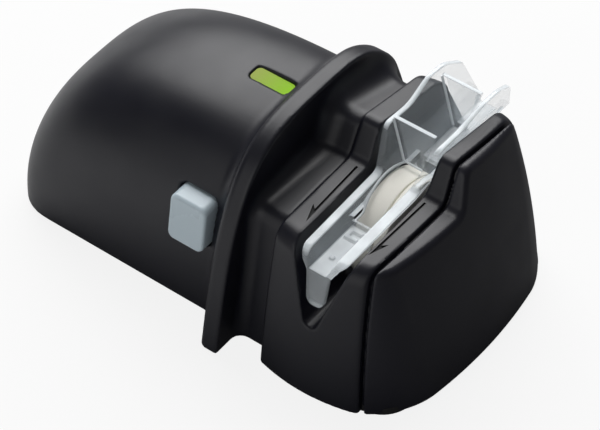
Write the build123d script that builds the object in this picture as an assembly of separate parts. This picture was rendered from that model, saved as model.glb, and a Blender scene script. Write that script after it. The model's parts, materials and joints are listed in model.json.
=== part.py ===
from build123d import *
import os
from math import asin, atan2, cos, pi, radians, sin, sqrt

# Battery knife sharpener with a domed grip, a flange, a slot unit and a nose.
# Millimetres. While it is built, X runs from the flange's rear face towards the nose, Y away
# from the push button, and Z up from the housings' lower rim. write_node moves it to its frame.

# Grip and flange
wall = 2.2
grip_length = 87.7
grip_half_width = 39.4
grip_height = 62.8
grip_rear_depth = 21.0
grip_arch_power = 2.8
grip_crown_power = 2.5
flange_thickness = 6.0
flange_half_width = 50.9
flange_height = 68.9
flange_draft = 0.186
flange_power = 3.6
flange_edge_radius = 1.0
sweep_radius = 4.0

# Neck, slot unit and nose
neck_length = 11.5
neck_half_width = 40.2
neck_side_lean = 7.0
neck_drop = 0.8
slot_unit_length = 36.2
head_half_width = 47.1
nose_length = 14.2
side_curve_radius = 60.0
front_curve_radius = 145.0
corner_radius = 12.0
corner_radius_fall = 0.13
ledge_height = 51.0
ledge_fall = 0.8
deck_height = 62.6
deck_slope = 0.19
riser_foot_y = -2.0
riser_depth = 6.0
step_radius = 3.5
shoulder_radius = 5.0
groove_width = 1.2
groove_lean = 3.6
nose_wall = 2.0
lip_thickness = 1.6
lip_length = 4.0
partition = 2.0
fit_gap = 0.15

# Pocket and clear guide
slot_x = 34.4
notch_height = 25.5
notch_half_width = 1.9
notch_flare = 0.314
knee_height = 50.0
knee_flare = 0.06
pocket_wall = 2.0
guide_levels = ((31.5, 2.2), (44.0, 4.0), (50.0, 7.4), (66.0, 10.6))
guide_floor_level = 45.0
guide_floor_half_width = 3.1
guide_inner_flare = 0.28
guide_floor = 1.8
keel_wall = 1.2
guide_near_y = -39.7
guide_far_y = 46.0
guide_low_top = 51.0
guide_high_top = 65.2
tongue_length = 12.0
tongue_half_widths = (3.9, 2.9)
tongue_lean = 0.13
tongue_thickness = 1.8
slit_width = 2.2
web_thickness = 1.5
near_web_y = 7.5
far_web_y = 31.0
floor_slot_start_y = -17.5
seat_width = 3.0
seat_y = 29.0
arrow_xs = (22.0, 47.0)
arrow_start_y = -4.0
arrow_length = 26.0
arrow_width = 0.7
arrow_barb = 2.2
arrow_depth = 0.35
arrow_head = 6.0

# Wheel
wheel_y = -1.0
wheel_z = 31.5
wheel_radius = 17.5
wheel_rear_x = 30.0
rear_ring_width = 6.8
front_ring_width = 2.8
groove_gap = 0.4
wheel_groove_depth = 4.0
ring_bore = 10.0
hub_flange_radius = 9.0
hub_flange_width = 1.4
nut_width = 2.0
nut_across = 12.0
wheel_gap = 1.0

# Drive
shaft_diameter = 4.0
running_gap = 0.03
tooth_module = 0.5
pinion_teeth = 14
gear_teeth = 42
tooth_backlash = 0.14
gear_width = 5.0
gear_x = 3.4
motor_angle = 40.0
motor_diameter = 24.2
motor_length = 30.5
motor_shaft_diameter = 2.0
frame_plate = 2.0
frame_width = 54.0
frame_height = 46.0
frame_y = 1.0
frame_screw_diameter = 2.4
small_screw_diameter = 2.0
chamber_wall = 1.6
chamber_side_gap = 3.0

# Button and switch
button_x = -10.3
button_z = 38.8
button_width = 13.2
button_height = 15.2
button_face_y = -42.3
button_face_lean = 9.5
button_gap = 0.4
button_travel = 2.2
button_rim = 1.2
button_rim_depth = 1.4
button_back_y = -26.6
button_edge_radius = 1.5
plunger_start_y = -25.1
switch_face_y = -22.5
switch_depth = 6.0
plunger_diameter = 3.0
spring_wire = 0.4
spring_radius = 4.0
spring_turns = 3
holder_thickness = 1.6

# Window and lamp
window_x = -11.4
window_length = 14.0
window_width = 5.6
window_recess = 0.7
lens_flange_z = 59.8
board_x = -15.5
board_length = 25.0
board_width = 16.0
board_thickness = 1.2
board_z = 55.0
lamp_diameter = 3.0

# Base, cells and feet
base_thickness = 2.4
door_thickness = 2.0
door_half_width = 29.0
door_front_x = -9.0
door_gap = 0.25
rail_depth = 1.2
foot_height = 0.8
foot_diameter = 6.0
cell_diameter = 14.2
cell_length = 49.2
cell_nub = 1.3
cell_pitch = 15.2
cell_count = 4
contact_thickness = 0.4
tray_wall = 1.6
tray_rear_x = -71.6
tray_length = 56.3
tray_height = 16.4
screw_diameter = 2.6
screw_head = 5.2
boss_diameter = 6.6

flange_front_x = flange_thickness
seam_x = flange_front_x + neck_length
groove_x = seam_x + slot_unit_length
nose_x = groove_x + nose_length
overall_length = grip_length + nose_x
frame_shift = (grip_length - nose_x) / 2
riser_top_y = riser_foot_y + riser_depth
seal_x = wheel_rear_x - chamber_side_gap - chamber_wall
reach = 90.0

os.makedirs("parts", exist_ok=True)


def write_node(name, shape):
    """Moves a finished node from its building axes to the object's frame and writes it."""
    solids = shape.solids()
    placed = Pos(frame_shift, 0, foot_height) * Compound(children=list(solids))
    export_step(placed, f"parts/{name}.step")
    print(name, len(solids), round(sum(solid.volume for solid in solids), 1))


def block(x_range, y_range, z_range):
    """Box between two values on each axis."""
    low, high = zip(x_range, y_range, z_range)
    size = [top - bottom for bottom, top in zip(low, high)]
    return Pos(*low) * Box(*size, align=(Align.MIN, Align.MIN, Align.MIN))


def rod(axis, start, end, diameter, across=(0.0, 0.0)):
    """Cylinder along X, Y or Z from start to end. across gives its place on the other two axes."""
    first, second = across
    frames = {
        "x": Plane((start, first, second), x_dir=(0, 1, 0), z_dir=(1, 0, 0)),
        "y": Plane((first, start, second), x_dir=(1, 0, 0), z_dir=(0, 1, 0)),
        "z": Plane((first, second, start), x_dir=(1, 0, 0), z_dir=(0, 0, 1)),
    }
    return extrude(frames[axis] * Circle(diameter / 2), amount=end - start)


def arch_face(half_width, height, power, draft, plane):
    """Arch between two feet on the plane's own X axis. Its sides lean in by draft."""
    steps = 16
    points = []
    for step in range(steps + 1):
        angle = pi * step / steps
        side = -1 if step < steps / 2 else 1
        up = height * sin(angle) ** (2 / power) if 0 < step < steps else 0.0
        across = (half_width - draft * up) * abs(cos(angle)) ** (2 / power)
        points.append((side * across, up))
    arch = Spline(*points, tangents=[(draft, 1), (draft, -1)])
    foot = Line(arch @ 1, arch @ 0)
    return plane * make_face(Wire([arch.edge(), foot.edge()]))


def grip_dome(inset):
    """Dome of the grip: arches that lean back until the last lies flat as the rear outline."""
    half_width = grip_half_width - inset
    length = grip_length - inset
    height = grip_height - inset
    rear_foot = length - grip_rear_depth
    sections = []
    for share in (1.0, 0.72, 0.5, 0.32, 0.17, 0.0):
        angle = share * pi / 2
        crest_x = -length * cos(angle) ** (2 / grip_crown_power) if share < 1 else 0.0
        crest_z = height * sin(angle) ** (2 / grip_crown_power) if share > 0 else 0.0
        foot_x = crest_x * rear_foot / length
        crest_reach = sqrt((crest_x - foot_x) ** 2 + crest_z**2)
        lean = asin((foot_x - crest_x) / crest_reach)
        plane = Plane((foot_x, 0, 0), x_dir=(0, 1, 0), z_dir=(cos(lean), 0, sin(lean)))
        sections.append(arch_face(half_width, crest_reach, grip_arch_power, 0.0, plane))
    return loft(sections)


def stair_face(half_width, side_lean, depth, drop):
    """Stepped top, seen along X: low ledge on the button side, riser, deck that falls away."""
    shift = drop * 0.45
    deck_end = deck_height - drop - deck_slope * (half_width - side_lean - riser_top_y)
    outline = Polyline(
        (-half_width, -depth),
        (-half_width + side_lean, ledge_height - ledge_fall - drop),
        (riser_foot_y + shift, ledge_height - drop),
        (riser_top_y + shift, deck_height - drop),
        (half_width - side_lean, deck_end),
        (half_width, -depth),
        close=True,
    )
    face = Plane.YZ * make_face(outline)
    step = face.vertices().filter_by(lambda corner: abs(corner.Y) < half_width / 2)
    return fillet(step, step_radius)


def neck_form(inset, start_x):
    """Neck between the flange and the slot unit, with the same steps on top."""
    half_width = neck_half_width - inset
    face = stair_face(half_width, neck_side_lean, 0.0, neck_drop + inset)
    tops = face.vertices().filter_by(lambda corner: abs(corner.Y) > half_width / 2)
    face = fillet(tops.filter_by(lambda corner: corner.Z > ledge_height / 2), 7.0 - inset)
    return extrude(Pos(start_x, 0, 0) * face, amount=seam_x - start_x, dir=(1, 0, 0))


def head_outline(level, inset):
    """Plan outline of slot unit and nose at one level: bowed sides and front, round corners."""
    side_shift = 0.10 * level + 0.0014 * level**2
    front_shift = 0.14 * level + 0.0013 * level**2
    middle_x = seam_x + slot_unit_length * 0.44
    half_width = head_half_width - side_shift - inset
    front_x = nose_x - front_shift - inset
    corner_x = front_x - 5.0
    back_x = flange_front_x

    def side_y(x):
        return half_width - (x - middle_x) ** 2 / (2 * side_curve_radius)

    near = [(x, -side_y(x)) for x in (back_x, middle_x, corner_x)]
    far = [(x, -y) for x, y in reversed(near)]
    edges = [
        ThreePointArc(*near),
        ThreePointArc(near[2], (front_x, 0), far[0]),
        ThreePointArc(*far),
        Line(far[2], near[0]),
    ]
    face = make_face(Wire([edge.edge() for edge in edges]))
    corners = face.vertices().sort_by(Axis.X)[-2:]
    radius = corner_radius - corner_radius_fall * level - inset / 2
    return Pos(0, 0, level) * fillet(corners, radius)


def head_form(inset):
    """Slot unit and nose as one form, before they are parted at the groove."""
    body = loft([head_outline(level, inset) for level in (0.0, 24.0, 48.0, 72.0)])
    stair = extrude(stair_face(reach, 0.0, 5.0, inset), amount=reach, dir=(1, 0, 0))
    return body & stair


def behind_groove(shape, offset):
    """The part of a shape behind a plane set off from the leaning groove."""
    lean = radians(groove_lean)
    plane = Plane((groove_x + offset, 0, 0), x_dir=(0, 1, 0), z_dir=(cos(lean), 0, sin(lean)))
    return split(shape, bisect_by=plane, keep=Keep.BOTTOM)


def before_groove(shape, offset):
    """The part of a shape in front of a plane set off from the leaning groove."""
    lean = radians(groove_lean)
    plane = Plane((groove_x + offset, 0, 0), x_dir=(0, 1, 0), z_dir=(cos(lean), 0, sin(lean)))
    return split(shape, bisect_by=plane, keep=Keep.TOP)


def before_x(shape, x):
    """The part of a shape in front of a plane across X."""
    return split(shape, bisect_by=Plane((x, 0, 0), z_dir=(1, 0, 0)), keep=Keep.TOP)


def pocket_section(inset):
    """Pocket, seen along Y: a V up to the knee, then nearly upright sides."""
    knee_half = notch_half_width + notch_flare * (knee_height - notch_height) - inset
    top_half = knee_half + knee_flare * (reach - knee_height)
    bottom_half = notch_half_width - inset
    points = []
    for side in (-1, 1):
        run = [(bottom_half, notch_height + inset), (knee_half, knee_height), (top_half, reach)]
        side_points = [(slot_x + side * half, level) for half, level in run]
        points += side_points if side < 0 else side_points[::-1]
    face = make_face(Polyline(*points, close=True))
    bottom = face.vertices().sort_by(Axis.Y)[:2]
    return fillet(bottom, bottom_half * 0.8)


def along_y(face, start, end):
    """Extrudes a face drawn as (x, z) along Y from start to end."""
    return extrude(Plane((0, start, 0), x_dir=(1, 0, 0), z_dir=(0, -1, 0)) * face, amount=start - end)


def button_prism(grow, start_y, end_y):
    """Rounded bar along Y with the button's outline, grown all round."""
    outline = RectangleRounded(button_width + 2 * grow, button_height + 2 * grow, 2.6 + grow)
    frame = Plane((button_x, start_y, button_z), x_dir=(1, 0, 0), z_dir=(0, 1, 0))
    return extrude(frame * outline, amount=end_y - start_y)


def window_prism(grow, bottom, top):
    """Rounded bar along Z with the window's outline, grown all round."""
    outline = RectangleRounded(window_length + 2 * grow, window_width + 2 * grow, 1.6 + grow)
    return extrude(Pos(window_x, 0, bottom) * outline, amount=top - bottom)


def base_screw_places():
    """Places of the base screws: two in the grip and four under the slot unit."""
    head_y = head_half_width - wall - boss_diameter
    grip_y = grip_half_width - wall - boss_diameter / 2
    xs = (-5.0, seam_x + 7.0, groove_x - 8.0)
    ys = (grip_y, head_y, head_y)
    return [(x, side * y) for x, y in zip(xs, ys) for side in (-1, 1)]


def boss(x, y, bottom, top):
    """Screw boss along Z, with its bore open at the bottom."""
    return rod("z", bottom, top, boss_diameter, (x, y))


def screw_bore(x, y, bottom, depth):
    return rod("z", bottom - 1.0, bottom + depth, screw_diameter, (x, y))


def make_grip_housing():
    flange_face = arch_face(
        flange_half_width, flange_height, flange_power, flange_draft, Plane.YZ
    )
    flange = extrude(flange_face, amount=flange_thickness)
    rims = flange.edges().filter_by(lambda edge: edge.length > 2 * flange_half_width + 5)
    body = grip_dome(0.0) + fillet(rims, flange_edge_radius)
    sweep = body.edges().filter_by(lambda edge: abs(edge.bounding_box().max.X) < 0.01)
    sweep = sweep.filter_by(lambda edge: abs(edge.bounding_box().max.Z - grip_height) < 1.0)
    body = fillet(sweep.filter_by(lambda edge: edge.length > grip_height), sweep_radius)
    body = body + neck_form(0.0, flange_front_x - 1.0)
    roots = body.edges().filter_by(
        lambda edge: abs(edge.bounding_box().min.X - flange_front_x) < 0.01
        and abs(edge.bounding_box().max.X - flange_front_x) < 0.01
        and edge.bounding_box().size.Z > 0.5
        and abs(edge.center().Y) < neck_half_width + 1
        and edge.bounding_box().max.Z < deck_height + 1
    )
    body = fillet(roots, sweep_radius)
    body -= grip_dome(wall)
    body -= neck_form(wall, wall)
    body -= neck_form(wall, -1.0) & block((-2, reach), (-reach, reach), (-1, base_thickness))
    body -= drive_opening()
    body -= button_prism(button_gap, -grip_half_width - 5, button_back_y - 4)
    body -= window_prism(0.0, grip_height - 8, flange_height + 5)
    body += grip_bosses()
    door_y = door_half_width + door_gap
    rail_y = door_y + rail_depth
    rear = (-reach, -grip_length + grip_rear_depth)
    body -= block(rear, (-door_y, door_y), (-1.0, door_thickness + door_gap))
    body -= block(rear, (-rail_y, rail_y), (0.6, door_thickness - 0.4))
    return body


def drive_opening():
    """Opening in the flange through which the gears reach the neck."""
    width, height = frame_width - 10.0, frame_height - 7.0
    centre = across_x(-1.0, frame_y, base_thickness + 2.0 + height / 2)
    shape = extrude(centre * RectangleRounded(width, height, 5.0), amount=wall + 2.0)
    for place in frame_screw_places():
        shape += rod("x", -1.0, wall - 0.1, frame_screw_diameter, place)
    return shape


def grip_bosses():
    """Bosses of the base screws and of the lamp board, cut to the inside of the dome."""
    posts = [boss(x, y, base_thickness, 22.0) for x, y in base_screw_places()[:2]]
    posts += [boss(x, y, board_z + board_thickness, grip_height) for x, y in board_screw_places()]
    inside = grip_dome(wall / 2)
    shape = Part() + [post & inside for post in posts]
    for x, y in base_screw_places()[:2]:
        shape -= screw_bore(x, y, base_thickness, 9.0)
    for x, y in board_screw_places():
        shape -= screw_bore(x, y, board_z + board_thickness, 3.0)
    return shape


def board_screw_places():
    x = board_x - board_length / 2 + 3.1
    return [(x, -board_width / 2 + 2.6), (x, board_width / 2 - 2.6)]


def make_slot_housing(head, hollow):
    body = before_x(behind_groove(head, 0.0), seam_x)
    shoulders = body.edges().filter_by(
        lambda edge: edge.bounding_box().size.X > 10
        and abs(edge.center().Y) > 25
        and edge.center().Z > 35
    )
    body = fillet(shoulders, shoulder_radius)
    body -= before_x(behind_groove(hollow, -partition), seam_x + partition)
    body -= hollow & block((0, reach), (-reach, reach), (-5, base_thickness))
    lip = head_form(nose_wall + fit_gap) - head_form(nose_wall + fit_gap + lip_thickness)
    lip = before_groove(behind_groove(lip, lip_length), -partition)
    lip -= block((groove_x - 8, groove_x + 12), (-reach, reach), (-5, base_thickness + 1.0))
    body += lip
    pocket_block = along_y(pocket_section(-pocket_wall), -reach, reach)
    body += pocket_block & before_x(behind_groove(head_form(wall / 2), -partition / 2), seam_x + 1)
    body -= along_y(pocket_section(0.0), -reach, reach)
    for side in (-1, 1):
        seat_start = wheel_y + side * seat_y - seat_width / 2
        seat = along_y(pocket_section(-0.5), seat_start, seat_start + seat_width)
        body += seat & block((0, reach), (-reach, reach), (0, guide_levels[0][0]))
    body -= chamber_space(wheel_gap - 0.3)
    body -= rod("x", seam_x - 1, seam_x + partition + 1, shaft_diameter + 6, (wheel_y, wheel_z))
    for x, y in base_screw_places()[2:]:
        body += boss(x, y, base_thickness, 24.0)
        body -= screw_bore(x, y, base_thickness, 9.0)
    return body


def chamber_space(gap):
    """Room that the wheel and its hub turn in."""
    side = chamber_side_gap
    start = wheel_rear_x - side
    end = wheel_rear_x + rear_ring_width + groove_gap + front_ring_width + side
    radius = wheel_radius + gap + 0.5
    low = block((start, end), (wheel_y - radius, wheel_y + radius), (base_thickness, 36.0))
    wheel_end = end - side + gap
    axis = (wheel_y, wheel_z)
    round_top = rod("x", wheel_rear_x - gap, wheel_end, 2 * radius, axis)
    hub_room = rod("x", start, end, 2 * (hub_flange_radius + gap), axis)
    return low + round_top + hub_room


def make_nose_cover(head):
    body = before_groove(head, groove_width)
    body -= head_form(nose_wall)
    return body


def guide_half_width(level):
    """Outer half width of the clear guide at a level."""
    for (low, low_half), (high, high_half) in zip(guide_levels, guide_levels[1:]):
        if level <= high or (high, high_half) == guide_levels[-1]:
            return low_half + (level - low) / (high - low) * (high_half - low_half)


def trough_half_width(level):
    """Half width between the guide's two inner faces."""
    return guide_floor_half_width + guide_inner_flare * (level - guide_floor_level)


def v_section(half_width, levels):
    """Closed V between the first and last levels, with a corner at each level, seen along Y."""
    rear = [(slot_x - half_width(level), level) for level in levels]
    front = [(slot_x + half_width(level), level) for level in reversed(levels)]
    return make_face(Polyline(*rear, *front, close=True))


def guide_outline():
    """Guide's outline, seen along X: low near end, riser, humped far end that overhangs."""
    keel_level = guide_levels[0][0]
    points = [
        ((guide_near_y + 4.2, keel_level), 0.0),
        ((guide_near_y + 3.4, guide_floor_level - guide_floor), 0.0),
        ((guide_near_y, guide_floor_level - guide_floor), 0.0),
        ((guide_near_y + 0.8, guide_low_top - 1.0), 4.5),
        ((wheel_y - 1.2, guide_low_top), 3.0),
        ((wheel_y + 5.8, guide_high_top - 2.1), 3.0),
        ((wheel_y + 17.0, guide_high_top - 3.0), 14.0),
        ((wheel_y + 27.5, guide_high_top), 9.0),
        ((wheel_y + 35.0, guide_high_top - 0.8), 9.0),
        ((guide_far_y - 4.7, guide_high_top - 5.0), 3.0),
        ((guide_far_y, guide_floor_level + 0.5), 2.0),
        ((guide_far_y - 5.5, guide_floor_level - 3.0), 2.0),
        ((guide_far_y - 6.0, keel_level), 0.0),
    ]
    face = make_face(Polyline(*[point for point, radius in points], close=True))
    for (y, z), radius in points:
        if radius:
            corner = face.vertices().sort_by_distance((y, z, 0))[0]
            face = fillet(corner, radius)
    return Plane.YZ * face


def guide_tongue():
    """Round-ended plate that hangs from the floor's near edge, leaning with the housing's side."""
    wide, narrow = tongue_half_widths
    corners = [(-wide, 0.6), (-narrow, -tongue_length), (narrow, -tongue_length), (wide, 0.6)]
    face = make_face(Polyline(*corners, close=True))
    low_corners = face.vertices().sort_by(Axis.Y)[:2]
    face = fillet(low_corners, narrow - 0.5)
    plane = Plane(
        (slot_x, guide_near_y, guide_floor_level - 0.6),
        x_dir=(1, 0, 0),
        z_dir=(0, -1, tongue_lean),
    )
    return extrude(plane * face, amount=-tongue_thickness)


def floor_details():
    """Pad and rest dot on the trough's floor, and the rim at the near end of the wheel's slot."""
    level = guide_floor_level - 0.3
    pad = block((slot_x - 2.2, slot_x + 2.1), (-24.4, -20.2), (level, guide_floor_level + 0.8))
    pad -= block((slot_x - 1.0, slot_x + 3.0), (-23.2, -21.4), (guide_floor_level, reach))
    dot = rod("z", level, guide_floor_level + 0.5, 1.6, (slot_x, -32.6))
    rim = along_y(
        v_section(lambda height: trough_half_width(height) + 0.3, (level, guide_floor_level + 1.3)),
        floor_slot_start_y - 1.2,
        floor_slot_start_y,
    )
    return pad + dot + rim


def make_knife_guide():
    keel_level, bend, knee = [level for level, half in guide_levels[:3]]
    under_floor = guide_floor_level - guide_floor
    shape = along_y(v_section(guide_half_width, (keel_level, bend, knee, reach)), -reach, reach)
    shape &= extrude(guide_outline(), amount=reach, dir=(1, 0, 0))
    shape -= along_y(v_section(trough_half_width, (guide_floor_level, reach)), -reach, reach)
    shape -= along_y(
        v_section(lambda level: guide_half_width(level) - keel_wall, (keel_level - 1, under_floor)),
        guide_near_y + 5.4,
        guide_far_y - 8.0,
    )
    shape += guide_tongue()
    shape += floor_details()
    for web_y, web_top in ((near_web_y, guide_high_top - 1.4), (far_web_y, guide_high_top - 2.6)):
        inner = v_section(lambda level: trough_half_width(level) + 0.4, (guide_floor_level, web_top))
        web = along_y(inner, web_y, web_y + web_thickness)
        slit = [
            (slot_x + trough_half_width(level) - slit_width, level)
            for level in (guide_floor_level, reach)
        ]
        far_side = [(reach, reach), (reach, guide_floor_level)]
        web -= along_y(make_face(Polyline(*slit, *far_side, close=True)), web_y - 1, web_y + 3)
        shape += web
    shape -= chamber_space(wheel_gap - 0.4)
    wheel_end = wheel_rear_x + rear_ring_width + groove_gap + front_ring_width
    shape -= block(
        (wheel_rear_x - wheel_gap + 0.4, wheel_end + wheel_gap - 0.4),
        (floor_slot_start_y, 2 * wheel_y - floor_slot_start_y),
        (keel_level - 1, guide_floor_level + 1.6),
    )
    return shape


def gear_face(teeth, grow):
    """Spur gear outline. Flanks follow the involute at a few radii, thinned by the backlash."""
    pitch_radius = tooth_module * teeth / 2
    base_radius = pitch_radius * cos(radians(20))
    tip_radius = pitch_radius + 0.9 * tooth_module
    root_radius = pitch_radius - 1.25 * tooth_module

    def half_angle(radius):
        radius = max(radius, base_radius)
        pitch_roll = sqrt((pitch_radius / base_radius) ** 2 - 1)
        roll = sqrt((radius / base_radius) ** 2 - 1)
        half = (pi * tooth_module / 2 - tooth_backlash) / (2 * pitch_radius)
        pitch_involute = pitch_roll - atan2(pitch_roll, 1)
        return half + pitch_involute - (roll - atan2(roll, 1))

    radii = (root_radius, pitch_radius - 0.4 * tooth_module, pitch_radius, tip_radius)
    points = []
    for tooth in range(teeth):
        middle = 2 * pi * (tooth + grow) / teeth
        flank = [(radius, half_angle(radius)) for radius in radii]
        tooth_points = [(radius, middle - half) for radius, half in flank]
        tooth_points += [(radius, middle + half) for radius, half in reversed(flank)]
        points += [(radius * cos(angle), radius * sin(angle)) for radius, angle in tooth_points]
    return make_face(Polyline(*points, close=True))


def across_x(x, y, z):
    return Plane((x, y, z), x_dir=(0, 1, 0), z_dir=(1, 0, 0))


def motor_axis():
    """Y and Z of the motor's axis, a gear distance from the wheel's axis."""
    distance = tooth_module * (pinion_teeth + gear_teeth) / 2
    angle = radians(motor_angle)
    return wheel_y + distance * cos(angle), wheel_z + distance * sin(angle)


def make_drive(write):
    """Wheel, shaft, gears, motor and the frame plate that carries them."""
    axis = (wheel_y, wheel_z)
    motor = motor_axis()
    turn = motor_angle / 360
    bore = shaft_diameter + 2 * running_gap
    wheel_end = wheel_rear_x + rear_ring_width + groove_gap + front_ring_width
    chamber_front = wheel_end + chamber_side_gap
    shaft_start = -frame_plate + 0.2
    shaft_end = chamber_front + chamber_wall + 3.0
    write("wheel_shaft", rod("x", shaft_start, shaft_end, shaft_diameter, axis))
    gear = extrude(across_x(gear_x, *axis) * Rot(0, 0, motor_angle) * gear_face(gear_teeth, 0.0), amount=gear_width)
    gear += rod("x", gear_x - 1.6, gear_x, 9.0, axis)
    lightening = [
        across_x(gear_x - 1, *axis) * (Rot(0, 0, 60 * step) * Pos(7.0, 0) * Circle(1.8))
        for step in range(6)
    ]
    for hole in lightening:
        gear -= extrude(hole, amount=gear_width + 2)
    write("wheel_gear", gear - rod("x", gear_x - 3, gear_x + 9, shaft_diameter, axis))
    pinion = extrude(
        across_x(gear_x - 0.4, *motor)
        * Rot(0, 0, motor_angle + 180)
        * gear_face(pinion_teeth, 0.5),
        amount=gear_width + 0.8,
    )
    write("motor_pinion", pinion - rod("x", 0, 20, motor_shaft_diameter, motor))
    front = -frame_plate
    rear = front - motor_length
    bell_length = 4.0
    write("motor_shaft", rod("x", rear - 1.5, gear_x + gear_width + 1.0, motor_shaft_diameter, motor))
    clear = motor_shaft_diameter + 2 * running_gap
    can = rod("x", rear + bell_length, front, motor_diameter, motor)
    can = fillet(can.edges().filter_by(GeomType.CIRCLE), 1.2)
    can += rod("x", front, front + frame_plate, 6.0, motor)
    flat_top = block((rear - 5, front + 1), (motor[0] + 9.6, reach), (0, reach))
    flat_low = block((rear - 5, front + 1), (-reach, motor[0] - 9.6), (0, reach))
    flats = flat_top + flat_low - rod("x", front - 0.01, front + 5, 40, motor)
    can -= flats
    for place in motor_screw_places():
        can -= rod("x", front - 3.0, front + 1, small_screw_diameter, place)
    write("motor_can", can - rod("x", rear - 1, 5, clear, motor))
    bell = rod("x", rear, rear + bell_length, motor_diameter - 1.0, motor) - flats
    bell += rod("x", rear - 1.2, rear, 7.0, motor)
    write("motor_end_cap", bell - rod("x", rear - 3, rear + 9, clear, motor))
    tabs = Part()
    for side in (-1, 1):
        y = motor[0] + side * 6.5
        tabs += block((rear - 4.0, rear), (y - 1.4, y + 1.4), (motor[1] - 0.3, motor[1] + 0.3))
    write("motor_terminals", tabs)
    write("drive_frame", make_drive_frame(axis, motor, bore))
    bush = rod("x", 0.0, 1.4, 10.0, axis) + rod("x", -frame_plate, 0.0, 7.0, axis)
    write("rear_bush", bush - rod("x", -9, 9, bore, axis))
    wall_start = chamber_front
    bush = rod("x", wall_start, wall_start + chamber_wall + 2.0, 7.0, axis)
    bush += rod("x", wall_start - 0.8, wall_start, 8.4, axis)
    write("front_bush", bush - rod("x", wall_start - 5, wall_start + 9, bore, axis))
    write_wheel(write, axis, wheel_end)
    frame_screws = Part()
    for y, z in frame_screw_places():
        frame_screws += rod("x", -frame_plate - 1.6, -frame_plate, 4.6, (y, z))
        frame_screws += rod("x", -frame_plate, wall - 0.2, frame_screw_diameter, (y, z))
    write("frame_screws", frame_screws)
    motor_screws = Part()
    for place in motor_screw_places():
        motor_screws += rod("x", 0.0, 1.4, 3.8, place)
        motor_screws += rod("x", -frame_plate - 2.8, 0.0, small_screw_diameter, place)
    write("motor_screws", motor_screws)


def motor_screw_places():
    y, z = motor_axis()
    return [(y + side * 8.0, z) for side in (-1, 1)]


def frame_screw_places():
    """Corners of the frame plate."""
    half_y, middle_z = frame_width / 2 - 4.4, base_thickness + frame_height / 2
    half_z = frame_height / 2 - 2.8
    return [
        (frame_y + side * half_y, middle_z + level * half_z)
        for side in (-1, 1)
        for level in (-0.8, 1)
    ]


def make_drive_frame(axis, motor, bore):
    """Plate that carries the motor and the shaft's rear bush, with two ribs that stiffen it."""
    middle = across_x(-frame_plate, frame_y, base_thickness + frame_height / 2)
    plate = extrude(middle * RectangleRounded(frame_width, frame_height, 5.0), amount=frame_plate)
    rim_y, rim_z = frame_width / 2 - 5.0, frame_height - 5.0
    for side in (-1, 1):
        rib_y = frame_y + side * rim_y
        ribs = ((-frame_plate - 1.6, -frame_plate), (rib_y - 0.8, rib_y + 0.8), (14.0, rim_z))
        plate += block(*ribs)
    for place in holder_screw_places():
        plate -= rod("x", -9, 9, small_screw_diameter, place)
    plate -= rod("x", -9, 9, motor_shaft_diameter + 4.0, motor)
    plate -= rod("x", -9, 9, 7.0, axis)
    for place in motor_screw_places():
        plate -= rod("x", -9, 9, small_screw_diameter, place)
    for place in frame_screw_places():
        plate -= rod("x", -9, 9, frame_screw_diameter, place)
    return plate


def write_wheel(write, axis, wheel_end):
    """Hub, two abrasive rings that leave a V between them, and the nut that clamps them."""
    flange_start = wheel_rear_x - hub_flange_width
    hub = rod("x", flange_start, wheel_rear_x, 2 * hub_flange_radius, axis)
    hub += rod("x", wheel_rear_x, wheel_end + nut_width, ring_bore, axis)
    write("wheel_hub", hub - rod("x", 0, reach, shaft_diameter, axis))
    inner = wheel_radius - wheel_groove_depth
    rear_end = wheel_rear_x + rear_ring_width
    front_start = rear_end + groove_gap
    profiles = {
        "rear_wheel_ring": [
            (wheel_rear_x, ring_bore / 2),
            (wheel_rear_x, wheel_radius - 0.6),
            (wheel_rear_x + 0.6, wheel_radius),
            (rear_end - 1.7, wheel_radius),
            (rear_end, inner),
            (rear_end, ring_bore / 2),
        ],
        "front_wheel_ring": [
            (front_start, ring_bore / 2),
            (front_start, inner),
            (front_start + 1.5, wheel_radius),
            (wheel_end - 0.5, wheel_radius),
            (wheel_end, wheel_radius - 0.5),
            (wheel_end, ring_bore / 2),
        ],
    }
    centre = Pos(0, *axis)
    for name, points in profiles.items():
        face = make_face(Polyline(*[(x, radius, 0) for x, radius in points], close=True))
        write(name, centre * revolve(face, Axis.X))
    spacer = rod("x", rear_end, front_start, 2 * inner - 3.0, axis) - rod("x", 0, reach, ring_bore, axis)
    write("wheel_spacer", spacer)
    nut = extrude(across_x(wheel_end, *axis) * RegularPolygon(nut_across / 2, 6, major_radius=False), amount=nut_width)
    write("wheel_nut", nut - rod("x", 0, reach, ring_bore, axis))


def make_wheel_chamber(pocket_block):
    """Dust tray round the lower wheel, cut to clear the pocket's V."""
    side = chamber_side_gap + chamber_wall
    start = wheel_rear_x - side
    end = wheel_rear_x + rear_ring_width + groove_gap + front_ring_width + side
    radius = wheel_radius + wheel_gap + 0.5 + chamber_wall
    shape = block((start, end), (wheel_y - radius, wheel_y + radius), (base_thickness, 40.0))
    inner_y = radius - chamber_wall
    shape -= block(
        (start + chamber_wall, end - chamber_wall),
        (wheel_y - inner_y, wheel_y + inner_y),
        (base_thickness + chamber_wall, 50.0),
    )
    shape -= pocket_block
    axis = (wheel_y, wheel_z)
    shape -= rod("x", start - 1, start + chamber_wall + 1, 7.0, axis)
    shape -= rod("x", end - chamber_wall - 1, end + 1, 7.0, axis)
    return shape


def inside_form(gap):
    """Room inside the housings' walls, drawn in by a gap."""
    grip = grip_dome(wall + gap)
    neck = neck_form(wall + gap, -1.0)
    head = before_x(behind_groove(head_form(wall + gap), groove_width / 2), seam_x)
    nose = before_groove(head_form(nose_wall + gap), groove_width / 2)
    return grip + neck + head + nose


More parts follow.
